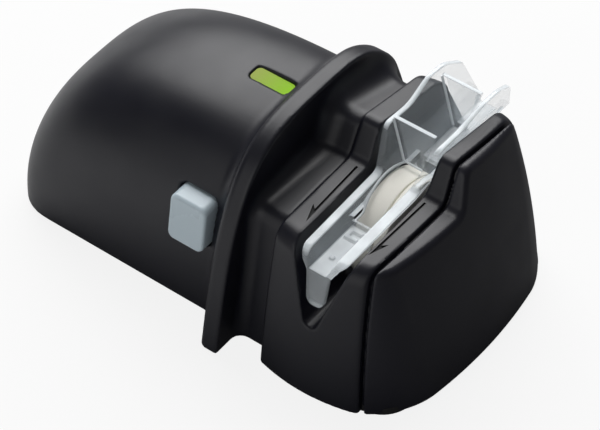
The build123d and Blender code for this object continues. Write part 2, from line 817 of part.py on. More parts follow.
def make_base_plate():
    slab = block((-reach, reach), (-reach, reach), (0, base_thickness))
    base = slab & inside_form(fit_gap)
    opening_y = door_half_width + door_gap
    base -= block((-reach, door_front_x + door_gap), (-opening_y, opening_y), (-1, base_thickness + 1))
    rail = opening_y + rail_depth
    base -= block((-reach, door_front_x + door_gap), (-rail, rail), (0.6, door_thickness - 0.4))
    for x, y in base_screw_places():
        base -= rod("z", -1, base_thickness + 1, screw_diameter + 0.6, (x, y))
        base -= rod("z", -1, 1.2, screw_head + 0.6, (x, y))
    for x, y in foot_places():
        base -= rod("z", -1, 1.0, foot_diameter, (x, y))
    return base


def foot_places():
    """Two feet beside the battery door and two under the nose."""
    grip_y = (door_half_width + grip_half_width - wall) / 2 + 0.6
    rear_x = -grip_length + grip_rear_depth + 8.0
    head_y = head_half_width - wall - 14.0
    return [(rear_x, -grip_y), (rear_x, grip_y), (groove_x + 1.0, -head_y), (groove_x + 1.0, head_y)]


def make_battery_door():
    """Sliding door under the cells, with tongues that run in the base plate's grooves."""
    slab = block((-reach, door_front_x), (-door_half_width, door_half_width), (0, door_thickness))
    door = slab & grip_dome(0.0)
    tongue_y = door_half_width + rail_depth
    tongue_x = (-grip_length + 12.0, door_front_x)
    tongues = block(tongue_x, (-tongue_y, tongue_y), (0.75, door_thickness - 0.55))
    door += tongues
    for step in range(5):
        start = -grip_length + 16.0 + 3.0 * step
        door -= block((start, start + 1.2), (-9.0, 9.0), (-1.0, 0.6))
    return door


def make_battery_tray():
    """Roofed tray over the cells, open towards the door, with a rib between each two cells."""
    front_x = tray_rear_x + 2 * tray_wall + tray_length
    half_width = cell_count * cell_pitch / 2
    top = base_thickness + tray_height
    outer_y = half_width + tray_wall
    tray = block((tray_rear_x, front_x), (-outer_y, outer_y), (base_thickness, top))
    inner_x = (tray_rear_x + tray_wall, front_x - tray_wall)
    tray -= block(inner_x, (-half_width, half_width), (0, top - tray_wall))
    for step in range(1, cell_count):
        y = -half_width + step * cell_pitch
        rib_x = (inner_x[0] + 1.0, inner_x[1] - 1.0)
        tray += block(rib_x, (y - 0.3, y + 0.3), (top - tray_wall - 4.0, top - tray_wall))
    return tray


def write_cells(write):
    """Four cells laid side by side, turned end for end in turn, with their contacts."""
    start = tray_rear_x + tray_wall + contact_thickness
    end = tray_rear_x + tray_wall + tray_length - contact_thickness
    level = base_thickness + tray_height - tray_wall - cell_diameter / 2 - 0.2
    leaves = Part()
    plates = Part()
    for number in range(cell_count):
        y = (number - (cell_count - 1) / 2) * cell_pitch
        way = 1 if number % 2 == 0 else -1
        nub_x = end if way > 0 else start
        flat_x = nub_x - way * (cell_length + cell_nub)
        low, high = sorted((flat_x, flat_x + way * cell_length))
        cell = rod("x", low, high, cell_diameter, (y, level))
        cell = fillet(cell.edges().filter_by(GeomType.CIRCLE), 0.8)
        nub_low, nub_high = sorted((nub_x - way * cell_nub, nub_x))
        cell += rod("x", nub_low, nub_high, 5.2, (y, level))
        write(f"cell_{number + 1}", cell)
        back = start if way > 0 else end
        bow = 0.6
        profile = Polyline(
            (back, level - 5.5),
            (flat_x, level),
            (back, level + 5.5),
            (back, level + 5.5 - bow),
            (flat_x - way * bow, level),
            (back, level - 5.5 + bow),
            close=True,
        )
        leaves += along_y(make_face(profile), y - 3.0, y + 3.0)
    bridges = (
        (start - contact_thickness, start, (-2, 0)),
        (start - contact_thickness, start, (0, 2)),
        (end, end + contact_thickness, (-2, -1)),
        (end, end + contact_thickness, (-1, 1)),
        (end, end + contact_thickness, (1, 2)),
    )
    for low, high, (first, last) in bridges:
        span = (first * cell_pitch + 1.4, last * cell_pitch - 1.4)
        plates += block((low, high), span, (level - 6.3, level + 6.3))
    write("contact_leaves", leaves)
    write("contact_plates", plates)


def make_push_button():
    """Button cap with a leaning face, a rim that holds it behind the wall, and its stem."""
    lean = radians(button_face_lean)
    face = Plane(
        (button_x, button_face_y, button_z), x_dir=(1, 0, 0), z_dir=(0, -cos(lean), sin(lean))
    )
    rim_start = button_back_y - button_rim_depth
    button = split(button_prism(0.0, -reach / 2 - 5, rim_start), bisect_by=face, keep=Keep.BOTTOM)
    rims = button.edges().filter_by(lambda edge: edge.bounding_box().max.Y < button_face_y + 3.0)
    button = fillet(rims, button_edge_radius)
    button -= button_prism(-1.6, button_face_y + 3.2, rim_start)
    button += button_prism(button_rim, rim_start, button_back_y)
    for side in (-1, 1):
        middle = button_z + side * (button_height / 2 - 3.0)
        slot = ((button_x - 3.5, button_x + 3.5), (rim_start - 1, button_back_y + 1))
        button -= block(*slot, (middle - 0.8, middle + 0.8))
    stem_start = button_face_y + 3.0
    return button + rod("y", stem_start, plunger_start_y, 4.0, (button_x, button_z))


def write_switch(write):
    """Button, its spring and the switch behind it on a holder."""
    axis = (button_x, button_z)
    write("push_button", make_push_button())
    plunger_end = switch_face_y + switch_depth - button_travel - 0.9
    write("switch_plunger", rod("y", plunger_start_y, plunger_end, plunger_diameter, axis))
    body = block(
        (button_x - 6.4, button_x + 6.4),
        (switch_face_y, switch_face_y + switch_depth),
        (button_z - 3.25, button_z + 3.25),
    )
    bore = plunger_diameter + 2 * running_gap
    write("switch_body", body - rod("y", switch_face_y - 1, switch_face_y + 5.4, bore, axis))
    room = switch_face_y - button_back_y - spring_wire - 0.04
    start = button_back_y + spring_wire / 2 + 0.02
    coil_plane = Plane((button_x, start, button_z), x_dir=(1, 0, 0), z_dir=(0, 1, 0))
    path = coil_plane * Helix(room / spring_turns, room, spring_radius)
    wire = Plane(path @ 0, z_dir=path % 0) * Circle(spring_wire / 2)
    write("button_spring", sweep(wire, path=path))
    back = switch_face_y + switch_depth
    holder = block(
        (button_x - 7.7, -frame_plate), (back, back + holder_thickness), (32.0, 46.0)
    )
    foot = (-frame_plate - holder_thickness, -frame_plate)
    holder += block(foot, (back, back + 9.0), (32.0, 46.0))
    screws = Part()
    for place in holder_screw_places():
        holder -= rod("x", -9, 0, small_screw_diameter, place)
        head = -frame_plate - holder_thickness
        screws += rod("x", head - 1.4, head, 3.8, place)
        screws += rod("x", head, -0.2, small_screw_diameter, place)
    write("switch_holder", holder)
    write("holder_screws", screws)


def holder_screw_places():
    y = switch_face_y + switch_depth + 6.0
    return [(y, 35.0), (y, 43.0)]


def write_lamp(write):
    """Window in the roof with the lamp and its board below."""
    lens_top = grip_height - 0.2 - window_recess
    lens = window_prism(-fit_gap, lens_flange_z, lens_top)
    lens += window_prism(1.5, lens_flange_z - 0.8, lens_flange_z)
    write("window_lens", lens)
    board = Pos(board_x, 0, board_z) * Box(
        board_length, board_width, board_thickness, align=(Align.CENTER, Align.CENTER, Align.MIN)
    )
    screws = Part()
    for x, y in board_screw_places():
        board -= rod("z", board_z - 1, board_z + 3, small_screw_diameter, (x, y))
        screws += rod("z", board_z - 1.4, board_z, 3.8, (x, y))
        screws += rod("z", board_z, board_z + board_thickness + 2.7, small_screw_diameter, (x, y))
    top = board_z + board_thickness
    lamp = rod("z", top, top + 1.2, lamp_diameter + 0.8, (window_x, 0))
    dome = rod("z", top + 1.2, top + 2.5, lamp_diameter, (window_x, 0))
    dome = fillet(dome.edges().sort_by(Axis.Z)[-1], 1.0)
    write("lamp_board", board)
    write("board_screws", screws)
    write("lamp_led", lamp + dome)


def write_base_parts(write):
    """Screws that hold the base plate and the feet pressed into it."""
    screws = Part()
    for x, y in base_screw_places():
        screws += rod("z", 0.0, 1.1, screw_head, (x, y))
        screws += rod("z", 1.1, base_thickness + 8.0, screw_diameter, (x, y))
    write("base_screws", screws)
    feet = Part()
    for x, y in foot_places():
        foot = rod("z", -foot_height, 1.0, foot_diameter, (x, y))
        feet += fillet(foot.edges().sort_by(Axis.Z)[0], 0.3)
    write("rubber_feet", feet)


def engrave_arrows(body):
    """Cuts a half-barbed arrow into each low strip beside the pocket, along the way of a pull."""
    slope = ledge_fall / (head_half_width - riser_foot_y)
    for x, side in zip(arrow_xs, (-1, 1)):
        tip = -arrow_length
        outline = Polyline(
            (-side * arrow_width / 2, 0.0),
            (side * arrow_width / 2, 0.0),
            (side * arrow_width / 2, tip + arrow_head * 0.8),
            (side * (arrow_width / 2 + arrow_barb), tip + arrow_head),
            (-side * arrow_width / 2, tip),
            close=True,
        )
        start_y = arrow_start_y - riser_foot_y
        top = Plane(
            (x, arrow_start_y, ledge_height + slope * start_y - arrow_depth),
            x_dir=(1, 0, 0),
            z_dir=(0, -slope, 1),
        )
        body -= extrude(top * make_face(outline), amount=6.0)
    return body


head = head_form(0.0)
pocket_clearance = along_y(pocket_section(-pocket_wall - 0.3), -reach, reach)
seal = rod("x", seal_x - 1.0, seal_x, 9.0, (wheel_y, wheel_z))
seal += rod("x", seal_x, seal_x + chamber_wall, 7.0, (wheel_y, wheel_z))
seal -= rod("x", 0, reach, shaft_diameter + 2 * running_gap, (wheel_y, wheel_z))

write_node("grip_housing", make_grip_housing())
write_node("slot_housing", engrave_arrows(make_slot_housing(head, head_form(wall))))
write_node("nose_cover", make_nose_cover(head))
write_node("base_plate", make_base_plate())
write_node("battery_door", make_battery_door())
write_node("knife_guide", make_knife_guide())
write_node("wheel_chamber", make_wheel_chamber(pocket_clearance))
write_node("dust_seal", seal)
write_node("battery_tray", make_battery_tray())
write_cells(write_node)
make_drive(write_node)
write_switch(write_node)
write_lamp(write_node)
write_base_parts(write_node)
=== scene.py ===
import json
from math import cos, pi, radians, sin, sqrt

import bpy
import numpy as np
from mathutils import Matrix, Vector


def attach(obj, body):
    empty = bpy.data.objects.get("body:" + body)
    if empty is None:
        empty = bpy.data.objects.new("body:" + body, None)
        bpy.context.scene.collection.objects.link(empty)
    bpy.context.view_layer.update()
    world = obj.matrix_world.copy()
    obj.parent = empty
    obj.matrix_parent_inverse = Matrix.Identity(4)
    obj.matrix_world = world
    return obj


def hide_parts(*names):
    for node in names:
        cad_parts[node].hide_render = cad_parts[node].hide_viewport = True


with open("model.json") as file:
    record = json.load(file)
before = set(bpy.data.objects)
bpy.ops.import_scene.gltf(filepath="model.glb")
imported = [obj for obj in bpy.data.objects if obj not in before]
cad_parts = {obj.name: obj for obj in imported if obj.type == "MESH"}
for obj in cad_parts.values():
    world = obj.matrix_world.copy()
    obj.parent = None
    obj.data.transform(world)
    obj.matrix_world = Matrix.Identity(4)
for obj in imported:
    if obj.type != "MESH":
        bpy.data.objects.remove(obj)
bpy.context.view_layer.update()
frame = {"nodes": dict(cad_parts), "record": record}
print("frame loaded:", len(frame["nodes"]), "nodes")

# Sizes are in millimetres, from the flange's rear face (x) and the housings' lower rim (z).
frameShift = (9.9, 0.0, 0.8)
coarseness = 1.0


def rowPoint(x, y, z):
    return Vector(((x + frameShift[0]) / 1000, (y + frameShift[1]) / 1000, (z + frameShift[2]) / 1000))


# fields are negative inside and about the distance to the surface outside it


def roundJoin(first, second, radius):
    near = np.minimum(first, second)
    arc = np.hypot(np.maximum(radius - first, 0), np.maximum(radius - second, 0))
    return np.maximum(near, radius) - arc


def roundMeet(first, second, radius):
    far = np.maximum(first, second)
    arc = np.hypot(np.maximum(first + radius, 0), np.maximum(second + radius, 0))
    return np.minimum(far, -radius) + arc


def cutAway(body, tool, radius=0.0):
    return roundMeet(body, -tool, radius) if radius else np.maximum(body, -tool)


def boxField(x, y, z, low, high, radius=0.0):
    middle = [(a + b) / 2 for a, b in zip(low, high)]
    half = [(b - a) / 2 - radius for a, b in zip(low, high)]
    reach = [np.abs(p - m) - h for p, m, h in zip((x, y, z), middle, half)]
    outside = sum(np.maximum(r, 0) ** 2 for r in reach) ** 0.5
    inside = np.minimum(np.maximum(np.maximum(reach[0], reach[1]), reach[2]), 0)
    return outside + inside - radius


def roundedLine(corners):
    # corners: (across, up, radius); arcs stand in for the corners that have a radius
    points = []
    for index, (across, up, radius) in enumerate(corners):
        here = np.array((across, up))
        if not radius:
            points.append(here)
            continue
        before = np.array(corners[index - 1][:2]) - here
        after = np.array(corners[index + 1][:2]) - here
        before, after = before / np.hypot(*before), after / np.hypot(*after)
        halfAngle = np.arccos(np.clip(before @ after, -1, 1)) / 2
        bisector = (before + after) / np.hypot(*(before + after))
        centre = here + bisector * radius / np.sin(halfAngle)
        start = here + before * radius / np.tan(halfAngle) - centre
        end = here + after * radius / np.tan(halfAngle) - centre
        turn = np.arctan2(start[0] * end[1] - start[1] * end[0], start @ end)
        for share in np.linspace(0, 1, 9):
            c, s = np.cos(turn * share), np.sin(turn * share)
            points.append(centre + (start[0] * c - start[1] * s, start[0] * s + start[1] * c))
    return np.array(points)


def underLine(points, across, up):
    # signed distance to a line drawn from low to high across; negative under it
    across, up = np.broadcast_arrays(np.asarray(across, float), np.asarray(up, float))
    best = np.full(across.shape, 1e9)
    for (ax, ay), (bx, by) in zip(points[:-1], points[1:]):
        dx, dy = bx - ax, by - ay
        length = dx * dx + dy * dy
        if length < 1e-12:
            continue
        share = np.clip(((across - ax) * dx + (up - ay) * dy) / length, 0, 1)
        best = np.minimum(best, np.hypot(across - ax - share * dx, up - ay - share * dy))
    return np.where(up < np.interp(across, points[:, 0], points[:, 1]), -best, best)


def skinField(name, field, low, high, step, finish=None):
    step *= coarseness
    axes = [np.arange(a, b + step, step) for a, b in zip(low, high)]
    values = np.broadcast_to(
        field(axes[0][:, None, None], axes[1][None, :, None], axes[2][None, None, :]),
        [len(axis) for axis in axes],
    ).astype(np.float32)
    inside = values < 0
    shape = np.array(values.shape) - 1

    def shifted(grid, offset):
        return grid[tuple(slice(o, o + n) for o, n in zip(offset, shape))]

    corners = [(i, j, k) for i in (0, 1) for j in (0, 1) for k in (0, 1)]
    filled = sum(shifted(inside, corner).astype(np.int8) for corner in corners)
    mixed = (filled > 0) & (filled < 8)
    cells = np.argwhere(mixed)
    total = np.zeros((len(cells), 3))
    hits = np.zeros(len(cells))
    for axis in range(3):
        for corner in corners:
            if corner[axis]:
                continue
            other = tuple(c + (i == axis) for i, c in enumerate(corner))
            first = shifted(values, corner)[mixed]
            second = shifted(values, other)[mixed]
            crossed = (first < 0) != (second < 0)
            share = np.where(crossed, first / np.where(crossed, first - second, 1), 0)
            for i in range(3):
                total[:, i] += crossed * (corner[i] + (share if i == axis else 0))
            hits += crossed
    points = np.array(low) + (cells + total / hits[:, None]) * step
    number = np.full(mixed.shape, -1)
    number[mixed] = np.arange(len(cells))
    faces = []
    for axis in range(3):
        b, c = (axis + 1) % 3, (axis + 2) % 3
        ahead = np.take(inside, range(1, inside.shape[axis]), axis)
        behind = np.take(inside, range(inside.shape[axis] - 1), axis)
        for turned, where in ((False, behind & ~ahead), (True, ahead & ~behind)):
            spots = np.argwhere(where)
            keep = np.all((spots[:, [b, c]] > 0) & (spots[:, [b, c]] < shape[[b, c]]), axis=1)
            spots = spots[keep]
            ring = []
            for ob, oc in ((-1, -1), (0, -1), (0, 0), (-1, 0)):
                cell = spots.copy()
                cell[:, b] += ob
                cell[:, c] += oc
                ring.append(number[cell[:, 0], cell[:, 1], cell[:, 2]])
            faces.append(np.stack(ring[::-1] if turned else ring, axis=1))
    faces = np.concatenate(faces)
    reach = 0.02
    for _ in range(4):
        px, py, pz = points.T
        here = field(px, py, pz)
        slope = np.stack(
            [
                (field(px + dx, py + dy, pz + dz) - field(px - dx, py - dy, pz - dz)) / (2 * reach)
                for dx, dy, dz in np.eye(3) * reach
            ],
            axis=1,
        )
        move = here[:, None] * slope / np.maximum((slope**2).sum(1), 0.05)[:, None]
        size = np.maximum(np.hypot(np.hypot(move[:, 0], move[:, 1]), move[:, 2]), 1e-9)
        points = points - move * np.minimum(1, 0.4 * step / size)[:, None]
    return meshPiece(name, points, faces, finish)


def meshPiece(name, points, faces, finish=None):
    mesh = bpy.data.meshes.new(name)
    placed = (np.asarray(points, float) + np.array(frameShift)) / 1000
    mesh.vertices.add(len(placed))
    mesh.vertices.foreach_set("co", placed.astype(np.float32).ravel())
    faces = np.asarray(faces)
    mesh.loops.add(faces.size)
    mesh.loops.foreach_set("vertex_index", faces.astype(np.int32).ravel())
    mesh.polygons.add(len(faces))
    mesh.polygons.foreach_set("loop_start", np.arange(0, faces.size, faces.shape[1], dtype=np.int32))
    mesh.polygons.foreach_set("use_smooth", np.ones(len(faces), bool))
    mesh.update(calc_edges=True)
    mesh.validate()
    piece = bpy.data.objects.new(name, mesh)
    bpy.context.scene.collection.objects.link(piece)
    if finish:
        mesh.materials.append(finish)
    print("meshed", name, len(mesh.polygons))
    return piece


# grip, flange and head share these shapes
hollowTop = 6
doorSlot = {"rear": -120, "front": -66, "half": 29.25, "depth": 2.25, "grooveHalf": 30.45,
            "groove": (0.6, 1.6)}
grip = {"length": 87.7, "halfWidth": 39.4, "height": 62.8, "rearDepth": 21.0, "archPower": 2.8,
        "crownPower": 2.5, "sweep": 4.0, "wall": 2.2, "foot": 0.9}
flange = {"thickness": 6.0, "halfWidth": 50.9, "height": 68.9, "draft": 0.186, "power": 3.6, "rearRim": 1.6,
          "rearSlope": 0.3, "rim": 0.7}
head = {"seam": 17.5, "groove": 53.7, "grooveWidth": 1.2, "grooveLean": radians(3.6), "nose": 67.9,
        "grooveBow": 1.4, "bowReach": 35.0,
        "halfWidth": 47.1, "middle": 33.4, "sideCurve": 60.0, "corner": 12.0, "shoulder": 5.0,
        "noseRim": 1.8, "seamRim": 1.0, "rim": 0.7, "foot": 0.8, "sideDraft": (0.10, 0.0014),
        "noseDraft": (0.14, 0.0013), "noseBow": 5, "cornerDraft": 0.13, "wall": 2.2, "noseWall": 2.0,
        "roomRear": 19.5, "lipInset": 2.15, "lipOverlap": 1, "lipReach": 3,
        "wheelRoom": ((25.1, -21.9, -2), (44.9, 19.9, 39.0))}
neckLine = roundedLine([(-40.2, 0, 0), (-32.6, 48.7, 5), (-1.64, 49.5, 3.5), (4.36, 61.0, 5),
                        (31.0, 54.4, 7), (38.6, 0, 0)])
neckSweep = ((-40, -30, 0, 40), (3.5, 4.2, 6.6, 9.0))
headLine = roundedLine([(-90, 50.2, 0), (-2, 51.0, 3.5), (4, 62.6, 3.5), (90, 46.3, 0)])


def archGauge(y, up, halfWidth, height, power):
    # distance to an arch |y/halfWidth|^power + (up/height)^power = 1
    across, rise = np.abs(y) / halfWidth, np.maximum(up, 0) / height
    size = np.maximum((across**power + rise**power) ** (1 / power), 0.25)
    slope = size ** (1 - power)
    gradient = np.hypot(across ** (power - 1) * slope / halfWidth, rise ** (power - 1) * slope / height)
    return (size - 1) / np.maximum(gradient, 1 / 120)


def domeField(x, y, z):
    # arches lean back until the last one lies flat; each point finds its own arch
    x, z = np.broadcast_arrays(np.minimum(x, -1e-3), np.maximum(z, 1e-3))
    low, high = np.full(x.shape, 1e-4), np.full(x.shape, pi / 2)
    foot = (grip["length"] - grip["rearDepth"]) / grip["length"]
    power = 2 / grip["crownPower"]
    for _ in range(24):
        angle = (low + high) / 2
        crestX = -grip["length"] * np.cos(angle) ** power
        crestZ = grip["height"] * np.sin(angle) ** power
        above = (x - crestX * foot) * crestZ - z * crestX * (1 - foot) > 0
        low, high = np.where(above, angle, low), np.where(above, high, angle)
    height = np.hypot(crestX * (1 - foot), crestZ)
    up = np.hypot(x - crestX * foot, z)
    return archGauge(y, up, grip["halfWidth"], height, grip["archPower"])


def plateField(x, y, z):
    outline = archGauge(y, z, flange["halfWidth"] - flange["draft"] * np.maximum(z, 0), flange["height"],
                        flange["power"])
    ramp = (flange["rearSlope"] * outline - x) / sqrt(1 + flange["rearSlope"] ** 2)
    return roundMeet(roundMeet(outline, ramp, flange["rearRim"]), x - flange["thickness"], flange["rim"])


def keyHole(across, up, width, height, radius):
    reachA, reachB = np.abs(across) - width / 2 + radius, np.abs(up) - height / 2 + radius
    outside = np.hypot(np.maximum(reachA, 0), np.maximum(reachB, 0))
    return outside + np.minimum(np.maximum(reachA, reachB), 0) - radius


button = {"x": -12.2, "z": 35.5, "width": 13.1, "height": 15.9, "corner": 2.4, "gap": 0.45, "faceY": -40.5,
          "lean": radians(9.5), "edge": 1.1, "back": -27.0, "dish": 0.35, "rimWidth": 1.2, "stemX": -10.3,
          "stemZ": 38.8, "stemRadius": 2.0, "stemMiddle": -31.0, "stemHalf": 5.9, "dishHalves": (6.2, 7.2),
          "rimMiddle": 0.3, "rimHalf": 0.7}
window = {"x": -11.4, "length": 14.0, "width": 5.6, "corner": 1.6, "gap": 0.12, "floor": 60.4}


def gripField(x, y, z):
    dome = np.maximum(domeField(x, y, z), x - 1)
    neck = roundMeet(underLine(neckLine, y, z), x - head["seam"], head["rim"])
    neck = np.maximum(neck, flange["thickness"] - 1 - x)
    body = roundJoin(dome, plateField(x, y, z), grip["sweep"])
    body = roundJoin(body, neck, np.interp(y, *neckSweep))
    wall = grip["wall"]
    room = np.minimum(np.maximum(dome + wall, x), np.maximum(underLine(neckLine, y, z) + wall, -1 - x))
    body = roundMeet(body, -z, grip["foot"])
    body = cutAway(body, np.maximum(room, z - hollowTop))
    for half, (bottom, top) in ((doorSlot["half"], (-5, doorSlot["depth"])),
                                (doorSlot["grooveHalf"], doorSlot["groove"])):
        low, high = (doorSlot["rear"], -half, bottom), (doorSlot["front"], half, top)
        body = cutAway(body, boxField(x, y, z, low, high))
    gap = 2 * button["gap"]
    hole = keyHole(x - button["x"], z - button["z"], button["width"] + gap, button["height"] + gap,
                   button["corner"] + button["gap"])
    body = cutAway(body, np.maximum(hole, y - button["back"]), 0.4)
    gap = 2 * window["gap"]
    hole = keyHole(x - window["x"], y, window["length"] + gap, window["width"] + gap, window["corner"])
    return cutAway(body, np.maximum(hole, window["floor"] - z), 0.2)


def headPlan(x, y, z):
    level = np.maximum(z, 0)
    (sideLean, sideBend), (noseLean, noseBend) = head["sideDraft"], head["noseDraft"]
    depth = head["noseBow"]
    halfWidth = head["halfWidth"] - sideLean * level - sideBend * level**2
    front = head["nose"] - noseLean * level - noseBend * level**2
    bow = (x - head["middle"]) / head["sideCurve"]
    side = (np.abs(y) - halfWidth + (x - head["middle"]) * bow / 2) / np.sqrt(1 + bow**2)
    chord = halfWidth - (front - depth - head["middle"]) ** 2 / (2 * head["sideCurve"])
    ahead = (x - front + depth * (y / chord) ** 2) / np.sqrt(1 + (2 * depth * y / chord**2) ** 2)
    return roundMeet(side, ahead, head["corner"] - head["cornerDraft"] * level)


def pastGroove(x, y, z):
    bow = head["grooveBow"] * np.minimum(np.abs(y) / head["bowReach"], 1) ** 2
    return (x - head["groove"] + bow) * cos(head["grooveLean"]) + z * sin(head["grooveLean"])


pocket = {"x": 34.4, "notch": 25.5, "notchHalf": 1.9, "flare": 0.314, "knee": 50.0, "upperFlare": 0.06,
          "rim": 0.6, "wallCosine": 0.955, "floorSweep": 1.4}


def pocketField(x, z):
    low = pocket["notchHalf"] + pocket["flare"] * (np.minimum(z, pocket["knee"]) - pocket["notch"])
    half = low + pocket["upperFlare"] * np.maximum(z - pocket["knee"], 0)
    sides = (np.abs(x - pocket["x"]) - half) * pocket["wallCosine"]
    return roundMeet(sides, pocket["notch"] - z, pocket["floorSweep"])


def slotField(x, y, z):
    outer = roundMeet(headPlan(x, y, z), underLine(headLine, y, z), head["shoulder"])
    past = pastGroove(x, y, z)
    body = roundMeet(roundMeet(outer, head["seam"] - x, head["seamRim"]), past, head["rim"])
    body = cutAway(body, pocketField(x, z), pocket["rim"])
    lip = np.maximum(-past - head["lipOverlap"], past - head["lipReach"])
    lip = np.maximum(outer + head["lipInset"], lip)
    body = roundMeet(np.minimum(body, lip), -z, head["foot"])
    body = cutAway(body, boxField(x, y, z, *head["wheelRoom"]))
    room = np.maximum(np.maximum(outer + head["wall"], head["roomRear"] - x), past + 2)
    return cutAway(body, np.maximum(room, z - hollowTop))


def noseField(x, y, z):
    outer = roundMeet(headPlan(x, y, z), underLine(headLine, y, z), head["noseRim"])
    body = roundMeet(outer, head["grooveWidth"] - pastGroove(x, y, z), head["rim"])
    return cutAway(roundMeet(body, -z, head["foot"]), np.maximum(outer + head["noseWall"], z - hollowTop))


guide = {"levels": (31.5, 44.0, 50.0, 66.0), "halves": (2.2, 4.0, 7.4, 10.6), "floor": 45.0, "floorHalf": 3.1,
         "innerFlare": 0.28, "floorDepth": 1.8, "keelWall": 1.2, "edge": 0.5, "slit": 2.2, "slotStart": -17.5,
         "webs": ((7.5, 63.8), (31.0, 62.6)), "webThickness": 1.5, "tongue": 12.0, "tongueLean": 0.13,
         "tongueHalves": (3.9, 2.9), "tongueThickness": 1.8, "tongueTop": 0.6, "tongueFlat": 0.4,
         "tongueEdge": 0.35, "nearEnd": -39.7, "keelStart": -19.0, "keelMiddle": 1.85, "keelHalf": 36.15,
         "innerCosine": 0.96, "outerCosine": 0.95, "floorSweep": 0.6, "topFlare": 0.2,
         "frontLip": 0.9, "lipLevel": 48.2, "lipRise": 1.4, "lipEnd": 8, "lipRun": 12,
         "padPlan": ((32.2, -24.4), (36.5, -20.2)), "padNotch": ((33.4, -23.2), (38, -21.4)),
         "padHeight": 0.8,
         "dotY": -32.6, "dotRadius": 0.8, "dotHeight": 0.5, "slotRimHalf": 0.6, "slotRimHeight": 1.3,
         "roomMiddle": 35.0, "roomHalf": 5.6, "roomRadius": 18.6, "roomTop": 1.6}
# painted highlight: thin whitish strands along the guide's joints
glintBead = {"radius": 0.4, "webLows": (48.8, 45.3), "turn": (2.2, 48.6), "arcRadius": 18.8, "arc": (150, 56, -6)}
guideTop = roundedLine([(-39.7, 43.2, 0), (-38.9, 50.0, 4.5), (-2.2, 51.0, 3), (4.8, 63.1, 3), (16, 62.2, 14),
                        (26.5, 65.2, 9), (34, 64.4, 9), (41.3, 60.2, 3), (46, 45.5, 0)])
guideFoot = roundedLine([(-39.7, 43.2, 0), (-36.3, 43.2, 0), (-35.5, 31.5, 0), (40, 31.5, 0), (40.5, 42, 2),
                         (46, 45.5, 0)])
wheel = {"y": -1.0, "z": 31.5, "radius": 17.5, "rear": 30.0, "rearWidth": 6.8, "gap": 0.4, "frontWidth": 2.8,
         "bore": 10.0, "rounding": 0.4}


def guideHalf(z):
    upper = guide["halves"][3] + (z - guide["levels"][3]) * guide["topFlare"]
    return np.where(z > guide["levels"][3], upper, np.interp(z, guide["levels"], guide["halves"]))


def troughHalf(z):
    return guide["floorHalf"] + guide["innerFlare"] * (z - guide["floor"])


def tongueField(x, y, z):
    fall = guide["floor"] - guide["tongueTop"] - z
    skin = guide["nearEnd"] - guide["tongueLean"] * fall
    thick = np.abs(y - skin - guide["tongueThickness"] / 2) - guide["tongueThickness"] / 2
    wide, narrow = guide["tongueHalves"]
    sides = np.abs(x - pocket["x"]) - wide + (wide - narrow) * np.clip(fall / guide["tongue"], -0.2, 1)
    outline = roundMeet(sides, fall - guide["tongue"], narrow - guide["tongueFlat"])
    return roundMeet(outline, np.maximum(thick, -guide["tongueTop"] - fall), guide["tongueEdge"])


def guideField(x, y, z):
    rise = np.clip((z - guide["lipLevel"]) / guide["lipRise"], 0, 1)
    fade = np.clip((guide["lipEnd"] - y) / guide["lipRun"], 0, 1)
    lip = guide["frontLip"] * rise * fade * (x > pocket["x"])
    across = np.abs(x - pocket["x"]) - guideHalf(z) - lip
    outline = np.maximum(underLine(guideTop, y, z), -underLine(guideFoot, y, z))
    inner = (np.abs(x - pocket["x"]) - troughHalf(z)) * guide["innerCosine"]
    body = roundMeet(across * guide["outerCosine"], outline, guide["edge"])
    body = cutAway(body, roundMeet(inner, guide["floor"] - z, guide["floorSweep"]), guide["edge"])
    keel = np.maximum(across + guide["keelWall"], z - guide["floor"] + guide["floorDepth"])
    body = cutAway(body, np.maximum(keel, np.abs(y - guide["keelMiddle"]) - guide["keelHalf"]))
    body = cutAway(body, np.maximum(z - guide["floor"] + guide["floorDepth"], y - guide["keelStart"]))
    body = np.minimum(body, tongueField(x, y, z))
    level = guide["floor"]
    low, high = guide["padPlan"]
    pad = boxField(x, y, z, (*low, level - 1), (*high, level + guide["padHeight"]), 0.3)
    low, high = guide["padNotch"]
    pad = cutAway(pad, boxField(x, y, z, (*low, level), (*high, level + 2)))
    dot = np.hypot(x - pocket["x"], y - guide["dotY"]) - guide["dotRadius"]
    dot = np.maximum(dot, np.abs(z - level) - guide["dotHeight"])
    slotRim = np.abs(y - guide["slotStart"] + guide["slotRimHalf"]) - guide["slotRimHalf"]
    slotRim = np.maximum(inner - 0.3, slotRim)
    slotRim = np.maximum(slotRim, np.maximum(level - 0.5 - z, z - level - guide["slotRimHeight"]))
    body = np.minimum(np.minimum(body, pad), np.minimum(dot, slotRim))
    for start, top in guide["webs"]:
        thick = np.abs(y - start - guide["webThickness"] / 2) - guide["webThickness"] / 2
        web = np.maximum(np.maximum(inner - 0.4, thick), np.maximum(z - top, level - z))
        slit = x - pocket["x"] - troughHalf(z) + guide["slit"]
        body = np.minimum(body, roundMeet(web, slit, 0.3))
    spun = np.hypot(y - wheel["y"], z - wheel["z"])
    middle, half = guide["roomMiddle"], guide["roomHalf"]
    room = np.maximum(spun - guide["roomRadius"], np.abs(x - middle) - half)
    box = boxField(x, y, z, (middle - half, guide["slotStart"], 0),
                   (middle + half, 2 * wheel["y"] - guide["slotStart"], level + guide["roomTop"]))
    return cutAway(body, np.minimum(room, box), 0.2)


def newGroup(name, inputs, outputs):
    group = bpy.data.node_groups.new(name, "ShaderNodeTree")
    for label, kind, value in inputs:
        socket = group.interface.new_socket(label, in_out="INPUT", socket_type=kind)
        if value is not None:
            socket.default_value = value
    for label, kind in outputs:
        group.interface.new_socket(label, in_out="OUTPUT", socket_type=kind)
    return group


